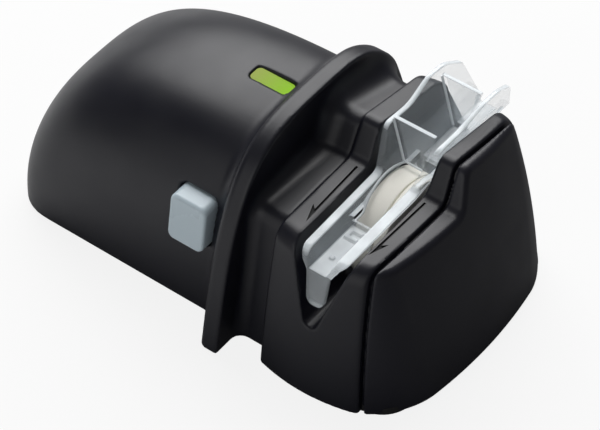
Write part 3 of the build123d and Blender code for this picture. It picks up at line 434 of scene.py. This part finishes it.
def mouldedGrainGroup():
    # fine spark-eroded grain with a broad, faint change in gloss
    group = newGroup(
        "mouldedGrain",
        [("Grain Scale", "NodeSocketFloat", 2600.0), ("Grain Depth", "NodeSocketFloat", 0.15),
         ("Roughness", "NodeSocketFloat", 0.45), ("Spread", "NodeSocketFloat", 0.06),
         ("Colour", "NodeSocketColor", None), ("Shade", "NodeSocketFloat", 0.1)],
        [("Colour", "NodeSocketColor"), ("Roughness", "NodeSocketFloat"), ("Normal", "NodeSocketVector")],
    )
    nodes, links = group.nodes, group.links
    given, result = nodes.new("NodeGroupInput"), nodes.new("NodeGroupOutput")
    place = nodes.new("ShaderNodeTexCoord")
    grain, broad = nodes.new("ShaderNodeTexNoise"), nodes.new("ShaderNodeTexNoise")
    grain.inputs["Detail"].default_value = 3.0
    broad.inputs["Scale"].default_value = 55.0
    broad.inputs["Detail"].default_value = 4.0
    links.new(given.outputs["Grain Scale"], grain.inputs["Scale"])
    for noise in (grain, broad):
        links.new(place.outputs["Object"], noise.inputs["Vector"])
    bump = nodes.new("ShaderNodeBump")
    bump.inputs["Distance"].default_value = 0.0001
    links.new(given.outputs["Grain Depth"], bump.inputs["Strength"])
    links.new(grain.outputs["Fac"], bump.inputs["Height"])
    rough = nodes.new("ShaderNodeMapRange")
    low, high = nodes.new("ShaderNodeMath"), nodes.new("ShaderNodeMath")
    low.operation, high.operation = "SUBTRACT", "ADD"
    for end, target in ((low, "To Min"), (high, "To Max")):
        links.new(given.outputs["Roughness"], end.inputs[0])
        links.new(given.outputs["Spread"], end.inputs[1])
        links.new(end.outputs[0], rough.inputs[target])
    rough.inputs["From Min"].default_value = 0.3
    rough.inputs["From Max"].default_value = 0.7
    links.new(broad.outputs["Fac"], rough.inputs["Value"])
    tint = nodes.new("ShaderNodeMix")
    tint.data_type, tint.blend_type = "RGBA", "MULTIPLY"
    speck = nodes.new("ShaderNodeMix")
    speck.data_type = "RGBA"
    speck.inputs["A"].default_value = (1.25, 1.25, 1.25, 1)
    speck.inputs["B"].default_value = (0.75, 0.75, 0.75, 1)
    links.new(grain.outputs["Fac"], speck.inputs["Factor"])
    links.new(given.outputs["Shade"], tint.inputs["Factor"])
    links.new(given.outputs["Colour"], tint.inputs["A"])
    links.new(speck.outputs["Result"], tint.inputs["B"])
    links.new(tint.outputs["Result"], result.inputs["Colour"])
    links.new(rough.outputs["Result"], result.inputs["Roughness"])
    links.new(bump.outputs["Normal"], result.inputs["Normal"])
    return group


mouldedGrain = mouldedGrainGroup()


def plasticFinish(name, colour, roughness, depth=0.15, spread=0.05, shade=0.1, grainScale=2600.0,
                  specular=0.5):
    material = bpy.data.materials.new(name)
    material.use_nodes = True
    nodes, links = material.node_tree.nodes, material.node_tree.links
    shader = nodes["Principled BSDF"]
    grain = nodes.new("ShaderNodeGroup")
    grain.node_tree = mouldedGrain
    grain.inputs["Colour"].default_value = (*colour, 1)
    for label, value in (("Grain Scale", grainScale), ("Grain Depth", depth), ("Roughness", roughness),
                         ("Spread", spread), ("Shade", shade)):
        grain.inputs[label].default_value = value
    links.new(grain.outputs["Colour"], shader.inputs["Base Color"])
    links.new(grain.outputs["Roughness"], shader.inputs["Roughness"])
    links.new(grain.outputs["Normal"], shader.inputs["Normal"])
    shader.inputs["Specular IOR Level"].default_value = specular
    return material


def milkyFinish(name, colour, roughness, density, trough):
    # clear plastic whose upward-facing rim and floor surfaces are drawn more opaque and white, a painted
    # highlight for the light gathered at the rim; density is the share of light stopped there
    # trough: middle x, half width and top level of the lower walls in metres, then the share of
    # light stopped by the floor, by the lower walls and by the upper walls
    material = bpy.data.materials.new(name)
    material.use_nodes = True
    nodes, links = material.node_tree.nodes, material.node_tree.links
    shader = nodes["Principled BSDF"]
    shader.inputs["Base Color"].default_value = (*colour, 1)
    shader.inputs["Roughness"].default_value = roughness
    shader.inputs["IOR"].default_value = 1.49
    surface, upward = nodes.new("ShaderNodeNewGeometry"), nodes.new("ShaderNodeSeparateXYZ")
    links.new(surface.outputs["Normal"], upward.inputs[0])
    place, split = nodes.new("ShaderNodeTexCoord"), nodes.new("ShaderNodeSeparateXYZ")
    links.new(place.outputs["Object"], split.inputs[0])

    def mathStep(operation, first, second, clamp=False):
        step = nodes.new("ShaderNodeMath")
        step.operation, step.use_clamp = operation, clamp
        for slot, value in enumerate((first, second)):
            if isinstance(value, float):
                step.inputs[slot].default_value = value
            else:
                links.new(value, step.inputs[slot])
        return step.outputs[0]

    middle, halfWidth, topLevel, floorShare, lowerShare, upperShare = trough
    aside = mathStep("ABSOLUTE", mathStep("SUBTRACT", split.outputs["X"], middle), 0.0)
    aside = mathStep("MULTIPLY", mathStep("SUBTRACT", aside, halfWidth), 3000.0)
    raised = mathStep("MULTIPLY", mathStep("SUBTRACT", split.outputs["Z"], topLevel), 1000.0, clamp=True)
    rimPlace = mathStep("MAXIMUM", aside, raised, clamp=True)
    # painted highlight: the more a surface faces up, the more opaque and white it is drawn
    facing = mathStep("MULTIPLY", mathStep("SUBTRACT", upward.outputs["Z"], 0.45), 2.5, clamp=True)
    rimGlint = mathStep("MULTIPLY", mathStep("MULTIPLY", facing, rimPlace), density)
    floorPart = mathStep("MULTIPLY", facing, floorShare)
    walls = mathStep("ADD", mathStep("MULTIPLY", raised, upperShare - lowerShare), lowerShare)
    flow = nodes.new("ShaderNodeTexNoise")
    flow.inputs["Scale"].default_value = 130.0
    links.new(place.outputs["Object"], flow.inputs["Vector"])
    uneven = mathStep("ADD", mathStep("MULTIPLY", flow.outputs["Fac"], 0.6), 0.7)
    stopped = mathStep("MAXIMUM", mathStep("MAXIMUM", walls, floorPart), rimGlint)
    rays = nodes.new("ShaderNodeLightPath")
    lit = mathStep("SUBTRACT", 1.0, mathStep("MULTIPLY", rays.outputs["Is Shadow Ray"], 0.7))
    shown = mathStep("MULTIPLY", stopped, uneven, clamp=True)
    links.new(mathStep("MULTIPLY", shown, lit), shader.inputs["Alpha"])
    return material


def brushedMetalGroup():
    # fine turned lines across the metal and a slow change in gloss
    group = newGroup(
        "brushedMetal",
        [("Line Scale", "NodeSocketFloat", 5000.0), ("Line Depth", "NodeSocketFloat", 0.2),
         ("Roughness", "NodeSocketFloat", 0.3), ("Colour", "NodeSocketColor", None)],
        [("Colour", "NodeSocketColor"), ("Roughness", "NodeSocketFloat"), ("Normal", "NodeSocketVector")],
    )
    nodes, links = group.nodes, group.links
    given, result = nodes.new("NodeGroupInput"), nodes.new("NodeGroupOutput")
    place, stretch = nodes.new("ShaderNodeTexCoord"), nodes.new("ShaderNodeMapping")
    stretch.inputs["Scale"].default_value = (1.0, 0.08, 0.08)
    links.new(place.outputs["Object"], stretch.inputs["Vector"])
    lines, cloud = nodes.new("ShaderNodeTexNoise"), nodes.new("ShaderNodeTexNoise")
    cloud.inputs["Scale"].default_value = 200.0
    links.new(given.outputs["Line Scale"], lines.inputs["Scale"])
    links.new(stretch.outputs["Vector"], lines.inputs["Vector"])
    links.new(place.outputs["Object"], cloud.inputs["Vector"])
    bump = nodes.new("ShaderNodeBump")
    bump.inputs["Distance"].default_value = 0.00005
    links.new(given.outputs["Line Depth"], bump.inputs["Strength"])
    links.new(lines.outputs["Fac"], bump.inputs["Height"])
    worn, tarnish = nodes.new("ShaderNodeMath"), nodes.new("ShaderNodeMix")
    worn.operation = "MULTIPLY_ADD"
    worn.inputs[1].default_value = 0.25
    links.new(cloud.outputs["Fac"], worn.inputs[0])
    links.new(given.outputs["Roughness"], worn.inputs[2])
    tarnish.data_type, tarnish.blend_type = "RGBA", "MULTIPLY"
    tarnish.inputs["Factor"].default_value = 0.35
    links.new(given.outputs["Colour"], tarnish.inputs["A"])
    links.new(cloud.outputs["Color"], tarnish.inputs["B"])
    links.new(tarnish.outputs["Result"], result.inputs["Colour"])
    links.new(worn.outputs[0], result.inputs["Roughness"])
    links.new(bump.outputs["Normal"], result.inputs["Normal"])
    return group


brushedMetal = brushedMetalGroup()


def metalFinish(name, colour, roughness, lineScale=5000.0, lineDepth=0.2):
    material = bpy.data.materials.new(name)
    material.use_nodes = True
    nodes, links = material.node_tree.nodes, material.node_tree.links
    shader, brushed = nodes["Principled BSDF"], nodes.new("ShaderNodeGroup")
    shader.inputs["Metallic"].default_value = 1.0
    brushed.node_tree = brushedMetal
    brushed.inputs["Colour"].default_value = (*colour, 1)
    for label, value in (("Line Scale", lineScale), ("Line Depth", lineDepth), ("Roughness", roughness)):
        brushed.inputs[label].default_value = value
    for label, socket in (("Colour", "Base Color"), ("Roughness", "Roughness"), ("Normal", "Normal")):
        links.new(brushed.outputs[label], shader.inputs[socket])
    return material


def windowFinish(name, darkEnd, brightEnd, rearX, frontX):
    # tinted window with painted light: darker at its rear end and brighter towards its front end, with the
    # same colour glowing through emission as if lit from below
    material = plasticFinish(name, darkEnd, 0.25, depth=0.0, shade=0.0, specular=0.08)
    nodes, links = material.node_tree.nodes, material.node_tree.links
    shader = nodes["Principled BSDF"]
    place, along = nodes.new("ShaderNodeTexCoord"), nodes.new("ShaderNodeSeparateXYZ")
    links.new(place.outputs["Object"], along.inputs[0])
    share = nodes.new("ShaderNodeMapRange")
    share.inputs["From Min"].default_value, share.inputs["From Max"].default_value = rearX, frontX
    links.new(along.outputs["X"], share.inputs["Value"])
    blend = nodes.new("ShaderNodeMix")
    blend.data_type = "RGBA"
    blend.inputs["A"].default_value, blend.inputs["B"].default_value = (*darkEnd, 1), (*brightEnd, 1)
    links.new(share.outputs["Result"], blend.inputs["Factor"])
    links.new(blend.outputs["Result"], shader.inputs["Base Color"])
    # painted glow: the ramp's colour also feeds the emission
    links.new(blend.outputs["Result"], shader.inputs["Emission Color"])
    shader.inputs["Emission Strength"].default_value = 0.3
    return material


blackPlastic = plasticFinish("blackPlastic", (0.0055, 0.0058, 0.0115), 0.4)
nosePlastic = plasticFinish("nosePlastic", (0.0085, 0.0085, 0.0155), 0.4)
arrowInk = plasticFinish("arrowInk", (0.012, 0.012, 0.013), 0.7, specular=0.3)
buttonPlastic = plasticFinish("buttonPlastic", (0.59, 0.7, 0.765), 0.3, depth=0.04, shade=0.02)
abrasiveStone = plasticFinish("abrasiveStone", (0.97, 0.95, 0.87), 0.8, depth=0.5, shade=0.25,
                              grainScale=3200)
guidePlastic = milkyFinish("guidePlastic", (0.84, 0.9, 0.94), 0.07, 0.8,
                           (0.0443, 0.0032, 0.0505, 0.42, 0.24, 0.14))
# painted highlight: whitish, mostly opaque finish for the glint strands along the guide's joints
guideGlint = plasticFinish("guideGlint", (0.88, 0.92, 0.95), 0.15, depth=0.0, shade=0.0)
guideGlint.node_tree.nodes["Principled BSDF"].inputs["Alpha"].default_value = 0.75
windowPlastic = windowFinish("windowPlastic", (0.24, 0.3, 0.05), (0.2, 0.42, 0.0), -0.0075, 0.0045)
finishes = {
    "black_housing": blackPlastic,
    "black_nose": nosePlastic,
    "black_base": plasticFinish("basePlastic", (0.014, 0.014, 0.015), 0.6, depth=0.3),
    "clear_guide": guidePlastic,
    "pale_chamber": plasticFinish("chamberPlastic", (0.55, 0.57, 0.6), 0.45),
    "felt": plasticFinish("sealFelt", (0.24, 0.22, 0.19), 0.95, depth=1.0, shade=0.9, grainScale=1500.0),
    "grey_inner": plasticFinish("innerPlastic", (0.1, 0.105, 0.115), 0.5),
    "black_inner": plasticFinish("switchPlastic", (0.02, 0.02, 0.022), 0.4),
    "cell_jacket": metalFinish("cellJacket", (0.42, 0.44, 0.5), 0.35, 900.0, 0.05),
    "steel": metalFinish("plainSteel", (0.6, 0.6, 0.63), 0.22),
    "motor_steel": metalFinish("motorSteel", (0.5, 0.5, 0.52), 0.3, 3000.0, 0.35),
    "brass": metalFinish("turnedBrass", (0.62, 0.42, 0.16), 0.22),
    "white_gear": plasticFinish("gearPlastic", (0.72, 0.71, 0.66), 0.4),
    "abrasive": abrasiveStone,
    "button_grey": buttonPlastic,
    "green_window": windowPlastic,
    "board_green": plasticFinish("boardLacquer", (0.01, 0.1, 0.035), 0.25, depth=0.05, shade=0.4,
                                 grainScale=700.0),
    "lamp_clear": plasticFinish("lampResin", (0.6, 0.75, 0.5), 0.12, depth=0.0),
    "rubber_foot": plasticFinish("footRubber", (0.02, 0.02, 0.02), 0.8, depth=0.4),
}
print("finishes made")


def buttonField(x, y, z):
    across, up = x - button["x"], z - button["z"]
    side = keyHole(across, up, button["width"], button["height"], button["corner"])
    wide, tall = button["dishHalves"]
    hollow = button["dish"] * np.maximum(1 - (across / wide) ** 2, 0) * np.maximum(1 - (up / tall) ** 2, 0)
    face = (button["faceY"] - y) * cos(button["lean"]) + up * sin(button["lean"]) + hollow
    cap = np.maximum(roundMeet(side, face, button["edge"]), y - button["back"] - 0.4)
    across, up = x - button["stemX"], z - button["stemZ"]
    side = keyHole(across, up, button["width"], button["height"], button["corner"])
    rimDepth = np.abs(y - button["back"] + button["rimMiddle"]) - button["rimHalf"]
    rim = np.maximum(side - button["rimWidth"], rimDepth)
    stemDepth = np.abs(y - button["stemMiddle"]) - button["stemHalf"]
    stem = np.maximum(np.hypot(across, up) - button["stemRadius"], stemDepth)
    return np.minimum(np.minimum(cap, rim), stem)


def prismPiece(name, outline, low, high):
    # outline: (x, y) corners, anticlockwise
    count = len(outline)
    points = [(x, y, low) for x, y in outline] + [(x, y, high) for x, y in outline]
    placed = [rowPoint(*point) for point in points]
    walls = [(n, (n + 1) % count, count + (n + 1) % count, count + n) for n in range(count)]
    mesh = bpy.data.meshes.new(name)
    mesh.from_pydata(placed, [], [tuple(range(count))[::-1], tuple(range(count, 2 * count)), *walls])
    piece = bpy.data.objects.new(name, mesh)
    bpy.context.scene.collection.objects.link(piece)
    return piece


arrow = {"startXs": (22.1, 45.9), "tipXs": (22.9, 45.0), "start": -4.2, "length": 25.8, "width": 0.75,
         "barb": 1.5, "head": 6.6, "floor": 50.2, "cutTop": 56.0}


def arrowOutline(startX, tipX, side):
    half, tip = arrow["width"] / 2, arrow["start"] - arrow["length"]
    corners = [(-half, arrow["start"]), (-half, tip), (half + arrow["barb"], tip + arrow["head"]),
               (half, tip + arrow["head"] * 0.8), (half, arrow["start"])]
    slant = (startX - tipX) / arrow["length"]
    corners = [(startX + (y - arrow["start"]) * slant + side * across, y) for across, y in corners]
    return corners if side > 0 else corners[::-1]


def bakeModifier(piece, modifier):
    # the modifier's result becomes a plain mesh; finishes come over with the piece's own slots
    graph = bpy.context.evaluated_depsgraph_get()
    mesh = bpy.data.meshes.new_from_object(piece.evaluated_get(graph))
    piece.modifiers.remove(modifier)
    piece.data = mesh
    mesh.name = piece.name


def cutPiece(piece, cutter):
    modifier = piece.modifiers.new("cut", "BOOLEAN")
    modifier.operation, modifier.solver, modifier.object = "DIFFERENCE", "EXACT", cutter
    modifier.material_mode = "TRANSFER"
    bakeModifier(piece, modifier)
    bpy.data.objects.remove(cutter)


def grownPiece(name, tree, values, start, edges=()):
    # a piece whose mesh is the tree's result, with the tree's named inputs set by their sockets
    mesh = bpy.data.meshes.new(name + "Start")
    mesh.from_pydata([rowPoint(*point) for point in start], edges, [])
    piece = bpy.data.objects.new(name, mesh)
    bpy.context.scene.collection.objects.link(piece)
    modifier = piece.modifiers.new("grow", "NODES")
    modifier.node_group = tree
    for socket in tree.interface.items_tree:
        if socket.in_out == "INPUT" and socket.name in values:
            modifier[socket.identifier] = values[socket.name]
    bakeModifier(piece, modifier)
    print("grew", name, len(piece.data.polygons))
    return piece


def newTree(name, inputs):
    tree = bpy.data.node_groups.new(name, "GeometryNodeTree")
    tree.interface.new_socket("Geometry", in_out="INPUT", socket_type="NodeSocketGeometry")
    tree.interface.new_socket("Geometry", in_out="OUTPUT", socket_type="NodeSocketGeometry")
    for label, kind in inputs:
        tree.interface.new_socket(label, in_out="INPUT", socket_type=kind)
    return tree, tree.nodes, tree.links, tree.nodes.new("NodeGroupInput"), tree.nodes.new("NodeGroupOutput")


def mathNode(nodes, links, operation, first, second):
    node = nodes.new("ShaderNodeMath")
    node.operation = operation
    for slot, value in enumerate((first, second)):
        if isinstance(value, (int, float)):
            node.inputs[slot].default_value = value
        else:
            links.new(value, node.inputs[slot])
    return node.outputs[0]


def finishTree(nodes, links, given, result, geometry):
    realised, coated = nodes.new("GeometryNodeRealizeInstances"), nodes.new("GeometryNodeSetMaterial")
    links.new(geometry, realised.inputs["Geometry"])
    links.new(realised.outputs["Geometry"], coated.inputs["Geometry"])
    links.new(given.outputs["Finish"], coated.inputs["Material"])
    links.new(coated.outputs["Geometry"], result.inputs["Geometry"])


def turnedRingTree():
    # a rounded rectangle swept round an axis along X, at each starting point
    tree, nodes, links, given, result = newTree(
        "turnedRing",
        [*((label, "NodeSocketFloat") for label in ("Outer Radius", "Bore Radius", "Width", "Rounding")),
         ("Finish", "NodeSocketMaterial")],
    )
    outer, bore = given.outputs["Outer Radius"], given.outputs["Bore Radius"]
    path = nodes.new("GeometryNodeCurvePrimitiveCircle")
    profile = nodes.new("GeometryNodeCurvePrimitiveQuadrilateral")
    path.inputs["Resolution"].default_value = 128
    links.new(mathNode(nodes, links, "MULTIPLY", mathNode(nodes, links, "ADD", outer, bore), 0.5),
              path.inputs["Radius"])
    links.new(mathNode(nodes, links, "SUBTRACT", outer, bore), profile.inputs["Width"])
    links.new(given.outputs["Width"], profile.inputs["Height"])
    rounded = nodes.new("GeometryNodeFilletCurve")
    rounded.mode = "POLY"
    rounded.inputs["Count"].default_value = 4
    links.new(profile.outputs["Curve"], rounded.inputs["Curve"])
    links.new(given.outputs["Rounding"], rounded.inputs["Radius"])
    sweep = nodes.new("GeometryNodeCurveToMesh")
    links.new(path.outputs["Curve"], sweep.inputs["Curve"])
    links.new(rounded.outputs["Curve"], sweep.inputs["Profile Curve"])
    turned = nodes.new("GeometryNodeTransform")
    turned.inputs["Rotation"].default_value = (0, pi / 2, 0)
    links.new(sweep.outputs["Mesh"], turned.inputs["Geometry"])
    placed = nodes.new("GeometryNodeInstanceOnPoints")
    links.new(given.outputs["Geometry"], placed.inputs["Points"])
    links.new(turned.outputs["Geometry"], placed.inputs["Instance"])
    finishTree(nodes, links, given, result, placed.outputs["Instances"])
    return tree


def strandTree():
    # a round strand along each chain of starting edges
    tree, nodes, links, given, result = newTree(
        "roundStrand", [("Radius", "NodeSocketFloat"), ("Finish", "NodeSocketMaterial")])
    chain, ring = nodes.new("GeometryNodeMeshToCurve"), nodes.new("GeometryNodeCurvePrimitiveCircle")
    ring.inputs["Resolution"].default_value = 10
    sweep = nodes.new("GeometryNodeCurveToMesh")
    sweep.inputs["Fill Caps"].default_value = True
    links.new(given.outputs["Geometry"], chain.inputs["Mesh"])
    links.new(given.outputs["Radius"], ring.inputs["Radius"])
    links.new(chain.outputs["Curve"], sweep.inputs["Curve"])
    links.new(ring.outputs["Curve"], sweep.inputs["Profile Curve"])
    finishTree(nodes, links, given, result, sweep.outputs["Mesh"])
    return tree


def screwTree():
    # a round head with a cross recess over a plain shank, pointing up, at each starting point
    tree, nodes, links, given, result = newTree(
        "crossScrew",
        [*((label, "NodeSocketFloat") for label in ("Head Radius", "Head Height", "Shank Radius", "Length")),
         ("Finish", "NodeSocketMaterial")],
    )
    radius, height = given.outputs["Head Radius"], given.outputs["Head Height"]
    joined = nodes.new("GeometryNodeJoinGeometry")
    parts = []
    for label, wide, tall, lift in (("head", radius, height, mathNode(nodes, links, "MULTIPLY", height, 0.5)),
                                    ("shank", given.outputs["Shank Radius"], given.outputs["Length"],
                                     mathNode(nodes, links, "MULTIPLY", given.outputs["Length"], 0.5))):
        rod = nodes.new("GeometryNodeMeshCylinder")
        rod.inputs["Vertices"].default_value = 32
        links.new(wide, rod.inputs["Radius"])
        links.new(tall, rod.inputs["Depth"])
        offset, moved = nodes.new("ShaderNodeCombineXYZ"), nodes.new("GeometryNodeTransform")
        links.new(lift, offset.inputs["Z"])
        links.new(rod.outputs["Mesh"], moved.inputs["Geometry"])
        links.new(offset.outputs["Vector"], moved.inputs["Translation"])
        parts.append(moved.outputs["Geometry"])
    recess = nodes.new("GeometryNodeMeshBoolean")
    recess.operation = "DIFFERENCE"
    links.new(parts[0], recess.inputs[0])
    for turnAngle in (0, pi / 2):
        bar, size = nodes.new("GeometryNodeMeshCube"), nodes.new("ShaderNodeCombineXYZ")
        links.new(mathNode(nodes, links, "MULTIPLY", radius, 1.25), size.inputs["X"])
        links.new(mathNode(nodes, links, "MULTIPLY", radius, 0.26), size.inputs["Y"])
        links.new(height, size.inputs["Z"])
        links.new(size.outputs["Vector"], bar.inputs["Size"])
        moved = nodes.new("GeometryNodeTransform")
        moved.inputs["Rotation"].default_value = (0, 0, turnAngle)
        links.new(bar.outputs["Mesh"], moved.inputs["Geometry"])
        links.new(moved.outputs["Geometry"], recess.inputs[1])
    links.new(recess.outputs["Mesh"], joined.inputs["Geometry"])
    links.new(parts[1], joined.inputs["Geometry"])
    placed = nodes.new("GeometryNodeInstanceOnPoints")
    links.new(given.outputs["Geometry"], placed.inputs["Points"])
    links.new(joined.outputs["Geometry"], placed.inputs["Instance"])
    finishTree(nodes, links, given, result, placed.outputs["Instances"])
    return tree


# each skin: its field, two corners of the box that holds it, the mesh step and the finish
gripPiece = skinField("gripHousing", gripField, (-88.6, -52.2, -0.35), (18.6, 52.2, 70.2), 0.8, blackPlastic)
slotPiece = skinField("slotHousing", slotField, (16.6, -48.4, -0.3), (57.5, 48.4, 63.8), 0.55, blackPlastic)
nosePiece = skinField("noseCover", noseField, (49.0, -45.2, -0.3), (69.2, 45.2, 63.8), 0.5, nosePlastic)
guidePiece = skinField("knifeGuide", guideField, (23.0, -42.4, 30.6), (45.8, 47.2, 66.8), 0.36, guidePlastic)
for startX, tipX, side in zip(arrow["startXs"], arrow["tipXs"], (-1, 1)):
    arrowCut = prismPiece("arrowCut", arrowOutline(startX, tipX, side), arrow["floor"], arrow["cutTop"])
    arrowCut.data.materials.append(arrowInk)
    cutPiece(slotPiece, arrowCut)
slotPiece.data.set_sharp_from_angle(angle=radians(38))
buttonPiece = skinField("pushButton", buttonField, (-20.5, -45.0, 26.5), (-1.8, -24.6, 48.2), 0.32,
                        buttonPlastic)
ringTree = turnedRingTree()
rearStart, frontStart = wheel["rear"], wheel["rear"] + wheel["rearWidth"] + wheel["gap"]
rings = []
for name, start, width in (("rearWheelRing", rearStart, wheel["rearWidth"]),
                           ("frontWheelRing", frontStart, wheel["frontWidth"])):
    values = {"Outer Radius": wheel["radius"] / 1000, "Bore Radius": wheel["bore"] / 1000,
              "Width": width / 1000, "Rounding": wheel["rounding"] / 1000, "Finish": abrasiveStone}
    rings.append(grownPiece(name, ringTree, values, [(start + width / 2, wheel["y"], wheel["z"])]))
# painted highlight: bright strands where each web meets the rear wall, and round the wheel's slot, standing
# in for the light the clear plastic gathers at these joints
chains = []
for (start, top), low in zip(guide["webs"], glintBead["webLows"]):
    chain = [(pocket["x"] - float(troughHalf(level)), start, level) for level in (top - 0.2, low)]
    chains.append(chain)
chains[0].append((pocket["x"] + glintBead["turn"][0], guide["webs"][0][0], glintBead["turn"][1]))
slotArc = []
for angle in np.radians(np.arange(*glintBead["arc"])):
    level = wheel["z"] + glintBead["arcRadius"] * sin(angle)
    if level > guide["floor"] + 0.2:
        place = wheel["y"] + glintBead["arcRadius"] * cos(angle)
        slotArc.append((pocket["x"] - float(troughHalf(level)), place, level))
slotArc.insert(0, (pocket["x"] - guide["floorHalf"] - 0.1, guide["slotStart"], guide["floor"] + 0.3))
chains.append(slotArc)
glintBeadPoints, glintBeadEdges = [], []
for chain in chains:
    glintBeadEdges += [(len(glintBeadPoints) + n, len(glintBeadPoints) + n + 1) for n in range(len(chain) - 1)]
    glintBeadPoints += chain
glintBeads = grownPiece("guideGlintBeads", strandTree(), {"Radius": glintBead["radius"] / 1000, "Finish": guideGlint},
                   glintBeadPoints, glintBeadEdges)
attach(glintBeads, "guide")

baseScrew = {"places": ((-5.0, 33.9), (24.5, 38.3), (45.7, 38.3)), "head": 2.6, "headHeight": 1.1,
             "shank": 1.3, "length": 10.4}
places = [(x, side * y, 0.0) for x, y in baseScrew["places"] for side in (-1, 1)]
values = {"Head Radius": baseScrew["head"] / 1000, "Head Height": baseScrew["headHeight"] / 1000,
          "Shank Radius": baseScrew["shank"] / 1000, "Length": baseScrew["length"] / 1000,
          "Finish": finishes["steel"]}
screws = grownPiece("baseScrews", screwTree(), values, places)
for piece, body, node, slot in (
    (buttonPiece, "button", "push_button", "button_grey"),
    (screws, "housing", "base_screws", "steel"),
    (rings[0], "wheel", "rear_wheel_ring", "abrasive"),
    (rings[1], "wheel", "front_wheel_ring", "abrasive"),
    (gripPiece, "housing", "grip_housing", "black_housing"),
    (slotPiece, "housing", "slot_housing", "black_housing"),
    (nosePiece, "housing", "nose_cover", "black_nose"),
    (guidePiece, "guide", "knife_guide", "clear_guide"),
):
    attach(piece, body)
    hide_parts(node)

slotNames = {row["node"]: row["material_slot"] for row in frame["record"]["subparts"]}
for name, node in frame["nodes"].items():
    node.data.materials.clear()
    node.data.materials.append(finishes[slotNames[name]])
print("finishes given to", len(slotNames), "nodes")

# lengths of the stage are in metres
stageShape = {"floorHalf": 3.0, "paper": 0.85, "ownLight": 0.86, "gleamWay": (0.8, 0.6, 0.0),
              "gleamRun": (-0.13, 0.06), "gleamShades": (0.9, 0.18), "surround": 0.1}
floorMesh = bpy.data.meshes.new("floor")
half, shade = stageShape["floorHalf"], stageShape["paper"]
floorMesh.from_pydata([(-half, -half, 0), (half, -half, 0), (half, half, 0), (-half, half, 0)], [],
                      [(0, 1, 2, 3)])
floor = bpy.data.objects.new("floor", floorMesh)
bpy.context.scene.collection.objects.link(floor)
floorPaper = bpy.data.materials.new("floorPaper")
floorPaper.use_nodes = True
paper = floorPaper.node_tree
paperShader = paper.nodes["Principled BSDF"]
paperShader.inputs["Roughness"].default_value = 0.9
glow = paper.nodes.new("ShaderNodeEmission")
glow.inputs["Color"].default_value = (1, 1, 1, 1)
mixer = paper.nodes.new("ShaderNodeMixShader")
paper.links.new(paperShader.outputs[0], mixer.inputs[1])
paper.links.new(glow.outputs[0], mixer.inputs[2])
paths = paper.nodes.new("ShaderNodeLightPath")
sheet = paper.nodes.new("ShaderNodeMix")
sheet.data_type = "RGBA"
sheet.inputs["A"].default_value = (shade, shade, shade, 1)
spot, alongFloor = paper.nodes.new("ShaderNodeTexCoord"), paper.nodes.new("ShaderNodeVectorMath")
alongFloor.operation = "DOT_PRODUCT"
alongFloor.inputs[1].default_value = stageShape["gleamWay"]
paper.links.new(spot.outputs["Object"], alongFloor.inputs[0])
gleam = paper.nodes.new("ShaderNodeMapRange")
gleam.inputs["From Min"].default_value, gleam.inputs["From Max"].default_value = stageShape["gleamRun"]
gleam.inputs["To Min"].default_value, gleam.inputs["To Max"].default_value = stageShape["gleamShades"]
paper.links.new(alongFloor.outputs["Value"], gleam.inputs["Value"])
paper.links.new(gleam.outputs["Result"], sheet.inputs["B"])
paper.links.new(paths.outputs["Is Glossy Ray"], sheet.inputs["Factor"])
paper.links.new(sheet.outputs["Result"], paperShader.inputs["Base Color"])
share = paper.nodes.new("ShaderNodeMath")
share.operation = "MULTIPLY"
share.inputs[1].default_value = stageShape["ownLight"]
paper.links.new(paths.outputs["Is Camera Ray"], share.inputs[0])
paper.links.new(share.outputs[0], mixer.inputs["Fac"])
paper.links.new(mixer.outputs[0], paper.nodes["Material Output"].inputs["Surface"])
floorMesh.materials.append(floorPaper)

world = bpy.data.worlds.new("studio")
bpy.context.scene.world = world
world.use_nodes = True
sky = world.node_tree
background = sky.nodes["Background"]
background.inputs["Color"].default_value = (1, 1, 1, 1)
seen = sky.nodes.new("ShaderNodeLightPath")
strength = sky.nodes.new("ShaderNodeMapRange")
strength.inputs["To Min"].default_value = stageShape["surround"]
strength.inputs["To Max"].default_value = 1.0
sky.links.new(seen.outputs["Is Camera Ray"], strength.inputs["Value"])
sky.links.new(strength.outputs[0], background.inputs["Strength"])


def areaLamp(name, place, target, width, height, power):
    lamp = bpy.data.lights.new(name, "AREA")
    lamp.shape, lamp.size, lamp.size_y, lamp.energy = "RECTANGLE", width, height, power
    holder = bpy.data.objects.new(name, lamp)
    bpy.context.scene.collection.objects.link(holder)
    holder.location = place
    holder.rotation_euler = (Vector(target) - Vector(place)).to_track_quat("-Z", "Y").to_euler()


areaLamp("backLamp", (-0.42, 0.55, 0.75), (0, 0, 0.03), 1.1, 0.9, 14.0)
areaLamp("frontLamp", (0.0, -1.05, 0.42), (0, 0, 0.03), 1.3, 0.8, 2.6)

view = {"azimuth": radians(37.085), "elevation": radians(46.83), "lens": 168.3,
        "place": (0.35569, -0.45954, 0.62676)}
back = Vector((sin(view["azimuth"]) * cos(view["elevation"]), -cos(view["azimuth"]) * cos(view["elevation"]),
               sin(view["elevation"])))
right = Vector((cos(view["azimuth"]), sin(view["azimuth"]), 0))
cameraData = bpy.data.cameras.new("camera")
cameraData.lens, cameraData.sensor_width = view["lens"], 36.0
camera = bpy.data.objects.new("camera", cameraData)
bpy.context.scene.collection.objects.link(camera)
turn = Matrix((right, back.cross(right), back)).transposed().to_4x4()
camera.matrix_world = Matrix.Translation(Vector(view["place"])) @ turn
bpy.context.scene.camera = camera
bpy.context.scene.view_settings.view_transform = "Standard"

print("scene ready")
